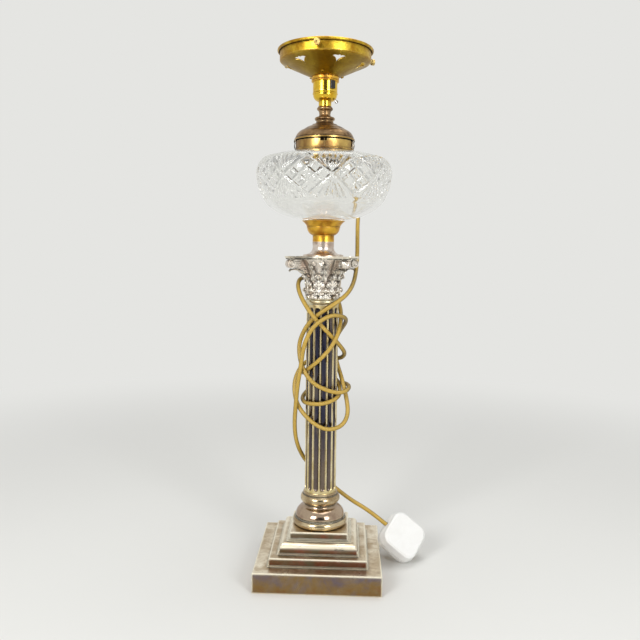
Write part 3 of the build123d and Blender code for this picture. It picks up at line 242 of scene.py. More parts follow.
def falls(tree, value, low, high):
    """Smooth fall from 1 at low to 0 at high."""
    return calc(tree, "SUBTRACT", 1.0, rises(tree, value, low, high))


def between(tree, value, start, end):
    """Mask that rises over the start pair and falls over the end pair."""
    return times(tree, rises(tree, value, *start), falls(tree, value, *end))


def thin_line(tree, value, middle):
    """Mask of a line under 2 mm wide where a length is near the middle."""
    away = calc(tree, "ABSOLUTE", calc(tree, "SUBTRACT", value, middle))
    return falls(tree, away, 0.0002, 0.0009)


def blend(tree, factor, first, second):
    """Colour between the first and the second."""
    node = add(tree, "Mix", {0: factor, 6: first, 7: second}, data_type="RGBA")
    return node.outputs[2]


def tint(tree, colour, shade, mask, share):
    """Colour taken towards the shade where the mask is, by the share at most."""
    return blend(tree, times(tree, mask, share), colour, shade)


def place(tree):
    """The shaded point, on Object coordinates."""
    return add(tree, "TexCoord").outputs["Object"]


def axes(tree, vector):
    """The vector's three parts."""
    return add(tree, "SeparateXYZ", {0: vector}).outputs


def height_here(tree):
    """Height of the shaded point."""
    return axes(tree, place(tree))[2]


def radius_here(tree):
    """Distance of the shaded point from the lamp's axis."""
    x, y, _ = axes(tree, place(tree))
    return calc(tree, "SQRT", calc(tree, "MULTIPLY_ADD", x, x, times(tree, y, y)))


def upward(tree):
    """How far the surface faces up: 1 on a top, 0 on a side, -1 underneath."""
    return axes(tree, add(tree, "NewGeometry").outputs["Normal"])[2]


def noise(tree, scale, detail=4.0, roughness=0.55, distortion=0.0, vector=None):
    """Value of a noise texture, on Object coordinates where no vector is given."""
    node = add(tree, "TexNoise", {
        "Vector": vector or place(tree), "Scale": scale, "Detail": detail,
        "Roughness": roughness, "Distortion": distortion})
    return node.outputs["Fac"]


def stretched(tree, scale):
    """The shaded point, scaled by axis to draw a pattern out."""
    return add(tree, "Mapping", {"Vector": place(tree), "Scale": scale}).outputs[0]


# ---- Effects that the materials share --------------------------------------------------------
def new_group(name, inputs, outputs):
    """Empty node group with named inputs (label: value) and outputs."""
    group = bpy.data.node_groups.new(name, "ShaderNodeTree")
    for label, value in inputs.items():
        socket = group.interface.new_socket(label, in_out="INPUT", socket_type="NodeSocketFloat")
        socket.default_value = value
    for label in outputs:
        group.interface.new_socket(label, in_out="OUTPUT", socket_type="NodeSocketFloat")
    start, end = group.nodes.new("NodeGroupInput"), group.nodes.new("NodeGroupOutput")
    return group, start.outputs, end.inputs


def patch_group():
    """Mask of irregular patches, for tarnish and stains."""
    group, start, end = new_group(
        "Patches", {"Scale": 40.0, "Share": 0.5, "Softness": 0.08, "Offset": 0.0}, ["Mask"])
    moved = add(group, "VectorMath", {0: place(group), 1: start["Offset"]}, operation="ADD")
    value = noise(group, start["Scale"], 7.0, 0.62, 0.5, moved.outputs[0])
    centre = calc(group, "MULTIPLY_ADD", start["Share"], -0.5, 0.75)
    low = calc(group, "SUBTRACT", centre, start["Softness"])
    high = calc(group, "ADD", centre, start["Softness"])
    put(group, end["Mask"], rises(group, value, low, high))
    return group


def edge_group():
    """Mask of rubbed convex edges, also used as painted highlight along them: where a rounded normal
    leaves the true one, outside hollows.
    """
    group, start, end = new_group(
        "Edge wear", {"Width": 0.0008, "Gain": 6.0, "Breakup": 0.35}, ["Mask"])
    rounded = add(group, "Bevel", {"Radius": start["Width"]}, samples=6)
    true = add(group, "NewGeometry").outputs["Normal"]
    dot = add(group, "VectorMath", {0: rounded.outputs[0], 1: true}, operation="DOT_PRODUCT")
    away = calc(group, "SUBTRACT", 1.0, dot.outputs["Value"])
    hollow = add(group, "AmbientOcclusion", {"Distance": 0.0025}, samples=4, only_local=True)
    kept = rises(group, hollow.outputs["AO"], 0.25, 0.75)
    broken = times(group, noise(group, 160.0, 4.0), start["Breakup"])
    mask = calc(group, "SUBTRACT", times(group, away, start["Gain"]), broken, clamp=True)
    put(group, end["Mask"], times(group, mask, kept))
    return group


def crevice_group():
    """Mask of hollows and joints, where dirt and old polish stay."""
    group, start, end = new_group("Crevice", {"Reach": 0.004, "Gain": 1.6}, ["Mask"])
    hollow = add(group, "AmbientOcclusion", {"Distance": start["Reach"]}, samples=8, only_local=True)
    closed = calc(group, "SUBTRACT", 1.0, hollow.outputs["AO"])
    put(group, end["Mask"], calc(group, "MULTIPLY", closed, start["Gain"], clamp=True))
    return group


def pit_group():
    """Mask and height of small corrosion pits that stand in clusters."""
    group, start, end = new_group("Pits", {"Scale": 900.0, "Share": 0.4}, ["Mask", "Height"])
    cells = add(group, "TexVoronoi", {"Vector": place(group), "Scale": start["Scale"]})
    dots = falls(group, cells.outputs["Distance"], 0.12, 0.42)
    spared = calc(group, "SUBTRACT", 0.85, start["Share"])
    mask = times(group, dots, rises(group, noise(group, 90.0, 3.0), spared, 0.9))
    put(group, end["Mask"], mask)
    put(group, end["Height"], calc(group, "SUBTRACT", 1.0, mask))
    return group


def handled_group():
    """Uneven polish: rubbing marks for the roughness, and a shallow waviness for the height."""
    group, start, end = new_group("Handled", {"Scale": 300.0}, ["Marks", "Height"])
    drawn = stretched(group, (1.0, 1.0, 5.0))
    put(group, end["Marks"], noise(group, start["Scale"], 5.0, 0.7, 0.0, drawn))
    put(group, end["Height"], noise(group, 70.0, 2.0, 0.4))
    return group


GROUP_MAKERS = {
    "Patches": patch_group, "Edge wear": edge_group, "Crevice": crevice_group, "Pits": pit_group,
    "Handled": handled_group,
}
GROUPS = {}


def use(tree, name, **values):
    """Place the named shared effect, built once, with its own values."""
    if name not in GROUPS:
        GROUPS[name] = GROUP_MAKERS[name]()
    node = tree.nodes.new("ShaderNodeGroup")
    node.node_tree = GROUPS[name]
    for label, value in values.items():
        put(tree, node.inputs[label], value)
    return node.outputs


# ---- Materials -------------------------------------------------------------------------------
# What each effect adds to a metal's roughness.
MARKS_ROUGHNESS = 0.16
HOLLOW_ROUGHNESS = 0.25
EDGE_ROUGHNESS = -0.1
PIT_ROUGHNESS = 0.3
# How much of a metal's stain is in fine patches, and how dark its pits are.
FINE_SHARE = 0.25
PIT_DARKNESS = 0.7


def new_material(name, **plain_values):
    """Material with its tree and shader, and what is the same all over set on the shader."""
    material = bpy.data.materials.new(name)
    material.use_nodes = True
    tree = material.node_tree
    shader = tree.nodes["Principled BSDF"]
    for label, value in plain_values.items():
        put(tree, shader.inputs[label.replace("_", " ")], value)
    return material, tree, shader


def mix_in(tree, factor, shader, other):
    """Show the other shader instead of the first by the factor."""
    mixed = add(tree, "MixShader", {0: factor, 1: shader.outputs[0], 2: other.outputs[0]})
    put(tree, tree.nodes["Material Output"].inputs["Surface"], mixed.outputs[0])


def raise_height(tree, shader, height, distance, strength=1.0, below=None):
    """Bump of the height onto the shader's normal, over the bump below it."""
    bump = add(tree, "Bump", {"Height": height, "Distance": distance, "Strength": strength})
    if below:
        put(tree, bump.inputs["Normal"], below)
    put(tree, shader.inputs["Normal"], bump.outputs[0])
    return bump.outputs[0]


def metal(name, base, stain, dark, worn, patches, edge, crevice, rough, pits=0.0, paint=None,
          relief=None):
    """Aged metal: stains over the base, dark hollows, bright rubbed edges with painted highlight,
    pits, uneven polish.

    patches: scale, share and softness of the stains. edge: width and gain of the rubbed and highlit
    edges.
    crevice: reach and gain of the hollows. rough: roughness where clean and where stained.
    paint: changes the colour and roughness under the wear. relief: height, distance, strength.
    """
    material, tree, shader = new_material(name, Metallic=1.0)
    scale, share, softness = patches
    coarse = use(tree, "Patches", Scale=scale, Share=share, Softness=softness)["Mask"]
    fine = use(tree, "Patches", Scale=scale * 5, Share=0.45, Softness=0.2, Offset=3.0)["Mask"]
    cover = calc(tree, "MULTIPLY_ADD", coarse, 1 - FINE_SHARE, times(tree, fine, FINE_SHARE))
    colour = blend(tree, cover, base, stain)
    polish = use(tree, "Handled")
    value = calc(tree, "MULTIPLY_ADD", cover, rough[1] - rough[0], rough[0])
    value = calc(tree, "SUBTRACT", value, MARKS_ROUGHNESS / 2)
    value = calc(tree, "MULTIPLY_ADD", polish["Marks"], MARKS_ROUGHNESS, value)
    if paint:
        colour, value = paint(tree, colour, value)
    hollow = use(tree, "Crevice", Reach=crevice[0], Gain=crevice[1])["Mask"]
    colour = blend(tree, hollow, colour, dark)
    value = calc(tree, "MULTIPLY_ADD", hollow, HOLLOW_ROUGHNESS, value)
    # Rubbed edges, whose bright colour is also painted highlight.
    rubbed = use(tree, "Edge wear", Width=edge[0], Gain=edge[1])["Mask"]
    colour = blend(tree, rubbed, colour, worn)
    value = calc(tree, "MULTIPLY_ADD", rubbed, EDGE_ROUGHNESS, value)
    below = raise_height(tree, shader, polish["Height"], 0.0004, 0.25)
    if pits:
        spots = use(tree, "Pits", Share=pits)
        colour = tint(tree, colour, dark, spots["Mask"], PIT_DARKNESS)
        value = calc(tree, "MULTIPLY_ADD", spots["Mask"], PIT_ROUGHNESS, value)
        below = raise_height(tree, shader, spots["Height"], 0.0002, 0.6, below)
    if relief:
        height, distance, strength = relief
        raise_height(tree, shader, height(tree), distance, strength, below)
    put(tree, shader.inputs["Base Color"], colour)
    put(tree, shader.inputs["Roughness"], value)
    return material


def dress(material, *names):
    """Give the material to the named CAD nodes."""
    for name in names:
        node = bpy.data.objects[name]
        if not node.material_slots:
            node.data.materials.append(material)
        for part in node.material_slots:
            part.material = material


# ---- Modelling -------------------------------------------------------------------------------
def deselect():
    """Leave edit mode and select nothing."""
    if bpy.context.object and bpy.context.object.mode != "OBJECT":
        bpy.ops.object.mode_set(mode="OBJECT")
    bpy.ops.object.select_all(action="DESELECT")


def pick(piece):
    """Select the piece alone and make it the active one."""
    deselect()
    piece.select_set(True)
    bpy.context.view_layer.objects.active = piece


def face_outwards():
    """Turn every face of the mesh in edit mode outwards."""
    bpy.ops.mesh.select_all(action="SELECT")
    bpy.ops.mesh.normals_make_consistent(inside=False)


def arc(first, middle, last, gap):
    """Points about a gap apart on the circle through three points, without the first."""
    (ax, ay), (bx, by), (cx, cy) = first, middle, last
    scale = 2 * (ax * (by - cy) + bx * (cy - ay) + cx * (ay - by))
    a2, b2, c2 = ax * ax + ay * ay, bx * bx + by * by, cx * cx + cy * cy
    ox = (a2 * (by - cy) + b2 * (cy - ay) + c2 * (ay - by)) / scale
    oy = (a2 * (cx - bx) + b2 * (ax - cx) + c2 * (bx - ax)) / scale
    radius = math.hypot(ax - ox, ay - oy)
    start = math.atan2(ay - oy, ax - ox)
    turn = math.remainder(math.atan2(by - oy, bx - ox) - start, math.tau)
    turn += math.remainder(math.atan2(cy - oy, cx - ox) - start - turn, math.tau)
    count = max(2, round(abs(turn) * radius / gap))
    angles = [start + turn * index / count for index in range(1, count + 1)]
    return [(ox + radius * math.cos(angle), oy + radius * math.sin(angle)) for angle in angles]


def lathe(name, outline, turns):
    """Spin an outline of (radius, height) points round the lamp's axis."""
    deselect()
    radius, height = outline[0]
    bpy.ops.mesh.primitive_plane_add(size=0.001, location=(radius, 0, height))
    piece = bpy.context.object
    piece.name = piece.data.name = name
    bpy.ops.object.transform_apply(location=True, rotation=True, scale=True)
    bpy.ops.object.mode_set(mode="EDIT")
    bpy.ops.mesh.select_mode(type="VERT")
    bpy.ops.mesh.merge(type="CENTER")
    for (r0, z0), (r1, z1) in zip(outline, outline[1:]):
        bpy.ops.mesh.extrude_region_move(TRANSFORM_OT_translate={"value": (r1 - r0, 0, z1 - z0)})
    bpy.ops.mesh.select_all(action="SELECT")
    bpy.ops.mesh.spin(
        steps=turns, angle=math.tau, center=(0, 0, 0), axis=(0, 0, 1), use_auto_merge=True)
    bpy.ops.mesh.select_all(action="SELECT")
    bpy.ops.mesh.remove_doubles(threshold=0.00002)
    face_outwards()
    bpy.ops.object.mode_set(mode="OBJECT")
    return piece


def points_of(piece):
    """The mesh's points, a row each."""
    points = np.empty(len(piece.data.vertices) * 3)
    piece.data.vertices.foreach_get("co", points)
    return points.reshape(-1, 3)


def set_points(piece, points):
    """Move the mesh's points to the rows given."""
    piece.data.vertices.foreach_set("co", points.ravel())
    piece.data.update()


def lengths_along(path):
    """Length of the path from its start to each of its points."""
    return np.concatenate([[0], np.cumsum(np.hypot(*np.diff(path, axis=0).T))])


def new_curve(name, kind, points, radius, sides):
    """Round curve object through the points, at the scene's origin."""
    data = bpy.data.curves.new(name, "CURVE")
    data.dimensions = "3D"
    data.bevel_depth = radius
    data.bevel_resolution = sides
    data.use_fill_caps = True
    line = data.splines.new(kind)
    line.points.add(len(points) - 1)
    for point, spot in zip(line.points, points):
        point.co = (*spot, 1.0)
    curve = bpy.data.objects.new(name, data)
    bpy.context.collection.objects.link(curve)
    return curve, line


# ---- Stage -----------------------------------------------------------------------------------
def soft_light(name, where, size, power):
    """Rectangular light that faces the target and that glass doesn't show."""
    data = bpy.data.lights.new(name, "AREA")
    data.shape = "RECTANGLE"
    data.size, data.size_y = size
    data.energy = power
    light = bpy.data.objects.new(name, data)
    light.location = where
    towards = Vector(LIGHT_TARGET) - Vector(where)
    light.rotation_euler = towards.to_track_quat("-Z", "Y").to_euler()
    light.visible_transmission = False
    bpy.context.collection.objects.link(light)


class LAMP_OT_stage(bpy.types.Operator):
    """Set the camera, the paper floor, the pale room and the soft lights"""

    bl_idname = "lamp.stage"
    bl_label = "Set the Stage"

    upright_count = 8.0
    floor_radius = 6.0
    floor_fade = (0.35, 1.3)  # distances over which the floor turns into plain paper

    def camera(self):
        """Camera at the photograph's place, turned by its yaw, pitch and roll."""
        yaw, pitch, roll = (math.radians(angle) for angle in CAMERA_DEGREES)
        level = math.cos(pitch)
        forward = Vector((math.sin(yaw) * level, math.cos(yaw) * level, math.sin(pitch)))
        right = Vector((math.cos(yaw), -math.sin(yaw), 0))
        up = right.cross(forward)
        tilted_right = math.cos(roll) * right + math.sin(roll) * up
        tilted_up = -math.sin(roll) * right + math.cos(roll) * up
        data = bpy.data.cameras.new("Camera")
        data.lens = CAMERA_LENS
        data.sensor_width = CAMERA_SENSOR
        camera = bpy.data.objects.new("Camera", data)
        turn = Matrix((tilted_right, tilted_up, -forward)).transposed()
        camera.matrix_world = Matrix.Translation(CAMERA_PLACE) @ turn.to_4x4()
        bpy.context.collection.objects.link(camera)
        bpy.context.scene.camera = camera

    def room(self, stage):
        """Pale world: as bright as paper where it is seen, dimmer where it only gives light."""
        world = bpy.data.worlds.new("Pale room")
        world.use_nodes = True
        bpy.context.scene.world = world
        tree = world.node_tree
        paths = add(tree, "LightPath").outputs
        seen = calc(tree, "MAXIMUM", paths["Is Camera Ray"], paths["Is Transmission Ray"])
        seen = calc(tree, "MAXIMUM", seen, paths["Is Glossy Ray"])
        dim = stage.room_strength
        strength = calc(tree, "MULTIPLY_ADD", seen, 1.0 - dim, dim)
        strength = times(tree, strength, self.uprights(tree, paths["Is Transmission Ray"]))
        shade = tree.nodes["Background"]
        put(tree, shade.inputs["Color"], stage.paper)
        put(tree, shade.inputs["Strength"], strength)

    def uprights(self, tree, through):
        """Room's light seen through glass: half as bright in a ring of uprights and overhead."""
        x, y, z = axes(tree, add(tree, "TexCoord").outputs["Generated"])
        turn = times(tree, calc(tree, "ARCTAN2", y, x), self.upright_count)
        upright_shade = falls(tree, calc(tree, "COSINE", turn), -0.75, 0.15)
        ceiling = rises(tree, calc(tree, "ABSOLUTE", z), 0.3, 0.75)
        shade = times(tree, calc(tree, "MAXIMUM", upright_shade, ceiling), through)
        return calc(tree, "MULTIPLY_ADD", shade, -0.5, 1.0)

    def floor(self, stage):
        """Round paper floor that glows as the room does far from the lamp."""
        deselect()
        bpy.ops.mesh.primitive_circle_add(
            vertices=96, radius=self.floor_radius, fill_type="NGON", location=(0, 0, 0))
        floor = bpy.context.object
        floor.name = "paper_floor"
        material, tree, shader = new_material(
            "Paper floor", Base_Color=darker(stage.paper, 0.98), Roughness=0.9,
            Specular_IOR_Level=0.1)
        far = rises(tree, radius_here(tree), *self.floor_fade)
        mix_in(tree, far, shader, add(tree, "Emission", {"Color": stage.paper}))
        floor.data.materials.append(material)

    def dark_side(self):
        """Dark card behind the camera, for the metals to mirror and glass to leave out."""
        deselect()
        bpy.ops.mesh.primitive_plane_add(
            size=1, location=(0.1, -2.3, 0.95), rotation=(math.pi / 2, 0, 0))
        card = bpy.context.object
        card.name = "dark_card"
        card.scale = (1.9, 1.5, 1)
        card.visible_camera = False
        card.visible_transmission = False
        material, tree, shader = new_material(
            "Dark card", Base_Color=(0.09, 0.09, 0.095), Roughness=0.9)
        passed = add(tree, "LightPath").outputs["Transmission Depth"]
        inside = calc(tree, "GREATER_THAN", passed, 0.5)
        mix_in(tree, inside, shader, add(tree, "BsdfTransparent"))
        card.data.materials.append(material)

    def execute(self, context):
        stage = context.scene.lamp_stage
        self.camera()
        self.room(stage)
        self.floor(stage)
        self.dark_side()
        soft_light("Key", (-0.85, -1.4, 0.95), (0.6, 0.8), stage.key_power)
        soft_light("Fill", (0.95, -1.35, 0.8), (0.5, 0.8), stage.fill_power)
        soft_light("Top", (0.1, 0.2, 1.9), (1.3, 1.3), stage.top_power)
        context.scene.view_settings.view_transform = "Standard"
        return {"FINISHED"}


# ---- Flex ------------------------------------------------------------------------------------
class LAMP_OT_flex(bpy.types.Operator):
    """Lay the flex from the dome, round the shaft, down to its plug"""

    bl_idname = "lamp.flex"
    bl_label = "Lay the Flex"

    picks_along = 900
    strands_across = 6

    def sheath(self, finishes):
        """Woven sheath on the curve's own UV map, with painted shade where it turns away from the
        view, and darker where soiled.
        """
        material, tree, shader = new_material(
            "Flex sheath", Roughness=0.36, Specular_IOR_Level=0.35)
        along, across, _ = axes(tree, add(tree, "TexCoord").outputs["UV"])
        threads = [
            calc(tree, "MULTIPLY_ADD", along, self.picks_along * math.tau,
                 times(tree, across, way * self.strands_across * math.tau))
            for way in (1, -1)]
        weave = times(tree, calc(tree, "SINE", threads[0]), calc(tree, "SINE", threads[1]))
        soiled = use(tree, "Patches", Scale=30.0, Share=0.45, Softness=0.2)["Mask"]
        dark = darker(finishes.flex, 0.55)
        colour = tint(tree, finishes.flex, dark, soiled, 0.3)
        # Painted shade: the flex is darkened towards its sides, where its surface turns away from the
        # view.
        turned = add(tree, "LayerWeight", {"Blend": 0.5}).outputs["Facing"]
        side = rises(tree, turned, 0.2, 0.8)
        colour = tint(tree, colour, darker(finishes.flex, 0.26), side, 0.95)
        thread = rises(tree, weave, -1.2, 0.0)
        put(tree, shader.inputs["Base Color"], blend(tree, thread, dark, colour))
        raise_height(tree, shader, weave, 0.00012, 0.5)
        return material

    def execute(self, context):
        cord, line = new_curve("lamp_flex", "NURBS", FLEX_ROUTE, FLEX_DIAMETER / 2, 3)
        cord.data.resolution_u = 6
        line.order_u = 3
        line.use_endpoint_u = True
        cord.data.materials.append(self.sheath(context.scene.lamp_finishes))
        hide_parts("flex")
        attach(cord, "lamp")
        return {"FINISHED"}


# ---- Cut-glass font --------------------------------------------------------------------------
class LAMP_OT_font(bpy.types.Operator):
    """Turn the glass font and cut its crossings, fans and hatched diamonds"""

    bl_idname = "lamp.font"
    bl_label = "Cut the Glass Font"

    # Arcs up the outside wall and down the inside one. Each has its middle and its end, as
    # lengths in from the wall's widest radius and up from the font's foot, and its points' gap.
    outside_arcs = (
        ((0.032, 0.0059), (0.0131, 0.0169), 0.0022),
        ((0.0037, 0.0334), (0.0, 0.0532), 0.0009),
        ((0.00235, 0.0625), (0.008, 0.0694), 0.001),
    )
    inside_arcs = (
        ((0.024, 0.0696), (0.007, 0.0644), 0.004),
        ((0.00185, 0.0591), (0.0, 0.052), 0.003),
        ((0.0037, 0.035), (0.0124, 0.0206), 0.003),
    )
    foot_points = 3  # points of the outline below the arcs
    turns = 576
    crossing_azimuth = math.radians(-81.6)
    crossing_rise = 0.0262  # of a crossing's middle, along the wall
    fan_rise = 0.0225  # from a crossing's middle to the ends of its mitres
    foot_z = 0.436  # height at which lengths along the wall start
    hatch_parts = (1 / 3, 2 / 3)
    fan_rays = ((0.0, 1.05), (0.25, 1.1), (0.52, 1.02))  # share across, and reach
    fan_start = 0.12
    star_rises = (0.0, 1 / 3, -1 / 3)
    star_reach = 0.0035
    star_width = 0.0013
    # The glass lets a ray straight on past these depths, and lets most of the light through.
    last_depth, last_glossy_depth, light_passed = 8.5, 3.5, 0.85

    def outline(self):
        """Closed half section: outside from the axis to the neck, then the inside back to it."""
        z, top, lip = FONT_Z, FONT_TOP_Z, CUP_LIP_RADIUS
        stub = lip - 0.008
        points = [(0, z - FONT_STUB), (stub, z - FONT_STUB), (stub, z - 0.006)]
        points += arc(points[-1], (lip - 0.0059, z - 0.0028), (lip - 0.0016, z + 0.0012), 0.003)
        points = self.follow(points, FONT_RADIUS, self.outside_arcs)
        points += arc(points[-1], (FONT_RADIUS - 0.027, z + 0.0746),
                      (FONT_NECK_RADIUS + 0.0024, top - 0.0006), 0.0015)
        points += [(FONT_NECK_RADIUS, top), (FONT_NECK_RADIUS, top + FONT_NECK_HEIGHT),
                   (FONT_MOUTH_RADIUS, top + FONT_NECK_HEIGHT), (FONT_MOUTH_RADIUS, top - FONT_WALL)]
        points = self.follow(points, FONT_RADIUS - FONT_WALL, self.inside_arcs)
        points += arc(points[-1], (FONT_RADIUS - FONT_WALL - 0.032, z + 0.0098),
                      (lip - 0.004, z + 0.0052), 0.004)
        return points + [(0, z + 0.0046)]

    def follow(self, points, widest, arcs):
        """The points with those of the arcs after them."""
        for middle, end, gap in arcs:
            spots = [(widest - inward, FONT_Z + up) for inward, up in (middle, end)]
            points = points + arc(points[-1], *spots, gap)
        return points

    def groove(self, across, up, start, end, widths, depth):
        """Depth of a mitre cut between two points of the unrolled wall, tapered by its widths."""
        (x0, y0), (x1, y1) = start, end
        dx, dy = x1 - x0, y1 - y0
        share = np.clip(((across - x0) * dx + (up - y0) * dy) / (dx * dx + dy * dy), 0, 1)
        away = np.hypot(across - x0 - share * dx, up - y0 - share * dy)
        width = widths[0] + (widths[1] - widths[0]) * share
        ends = np.clip(1.25 - 0.75 * np.abs(2 * share - 1) ** 6, 0, 1)
        return depth * width / max(widths) * ends * np.clip(1 - away / width, 0, None)

    def pattern(self, half, cuts):
        """Cuts of one repeat, half wide each way: start, end, half widths and depth of each."""
        middle, fan = self.crossing_rise, self.fan_rise
        even = (cuts.mitre_width, cuts.mitre_width)
        opening = (0.0006, cuts.fan_width)
        hatch = (cuts.hatch_width, cuts.hatch_width)
        star = (self.star_width, self.star_width)
        lines = []
        for side in (-half, half):
            for way in (-fan, fan):
                lines.append(((0, middle), (side, middle + way), even, cuts.mitre_depth))
                for part in self.hatch_parts:
                    start = (side * part, middle + way * part)
                    end = (side * (1 + part), middle + way * (part - 1))
                    lines.append((start, end, hatch, cuts.hatch_depth))
                for spread, reach in self.fan_rays:
                    start = (side * spread * self.fan_start, middle + way * self.fan_start)
                    tip = (side * spread, middle + way * reach)
                    lines.append((start, tip, opening, cuts.fan_depth))
            for rise in self.star_rises:
                y, reach = middle + fan * rise, self.star_reach
                lines.append(((side - reach, y), (side + reach, y), star, cuts.star_depth))
                lines.append(((side, y - reach), (side, y + reach), star, cuts.star_depth))
        return lines

    def cut(self, points, cuts):
        """Points of the outside wall moved in by the depth of the cuts that cross them."""
        x, y, z = points.T
        radius = np.hypot(x, y)
        pitch = math.tau / cuts.repeats
        turned = np.arctan2(y, x) - self.crossing_azimuth + pitch / 2
        across = (np.mod(turned, pitch) - pitch / 2) * FONT_RADIUS
        wall = np.array(self.outline())
        neck = int(np.argmax(wall[:, 1] >= FONT_TOP_Z - 0.0001))
        wall = wall[self.foot_points:neck + 1]
        run = lengths_along(wall)
        rise = np.interp(z, wall[:, 1], run) - np.interp(self.foot_z, wall[:, 1], run)
        outside = np.abs(radius - np.interp(z, wall[:, 1], wall[:, 0])) < 0.0003
        depth = np.zeros(len(points))
        for line in self.pattern(pitch / 2 * FONT_RADIUS, cuts):
            depth = np.maximum(depth, self.groove(across, rise, *line))
        depth = np.where(outside & (z < FONT_TOP_Z - 0.002), depth, 0)
        up = np.interp(z, wall[:, 1], -np.gradient(wall[:, 0], run))
        inward = np.sqrt(np.clip(1 - up * up, 0, 1))
        radius = np.maximum(radius, 1e-6)
        return np.column_stack([
            x - x / radius * depth * inward, y - y / radius * depth * inward, z - depth * up])

    def glass(self, finishes):
        """Clear glass. After so many mirrorings that the renderer stops, a ray goes straight on."""
        material, tree, shader = new_material(
            "Cut glass", Base_Color=finishes.glass, Transmission_Weight=1.0, IOR=1.5)
        dust = use(tree, "Patches", Scale=60.0, Share=0.35, Softness=0.25)["Mask"]
        put(tree, shader.inputs["Roughness"], calc(tree, "MULTIPLY_ADD", dust, 0.05, 0.015))
        paths = add(tree, "LightPath").outputs
        late = calc(tree, "GREATER_THAN", paths["Ray Depth"], self.last_depth)
        mirrored = calc(tree, "GREATER_THAN", paths["Glossy Depth"], self.last_glossy_depth)
        shadow = times(tree, paths["Is Shadow Ray"], self.light_passed)
        passing = calc(tree, "MAXIMUM", calc(tree, "MAXIMUM", late, mirrored), shadow)
        mix_in(tree, passing, shader, add(tree, "BsdfTransparent", {"Color": (0.97, 0.97, 0.96)}))
        raise_height(tree, shader, noise(tree, 40.0, 2.0, 0.4), 0.0005, 0.1)
        return material

    def execute(self, context):
        font = lathe("cut_glass_font", self.outline(), self.turns)
        set_points(font, self.cut(points_of(font), context.scene.lamp_cuts))
        bpy.ops.object.shade_smooth_by_angle(angle=math.radians(32))
        font.data.materials.append(self.glass(context.scene.lamp_finishes))
        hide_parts("glass_font")
        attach(font, "lamp")
        return {"FINISHED"}


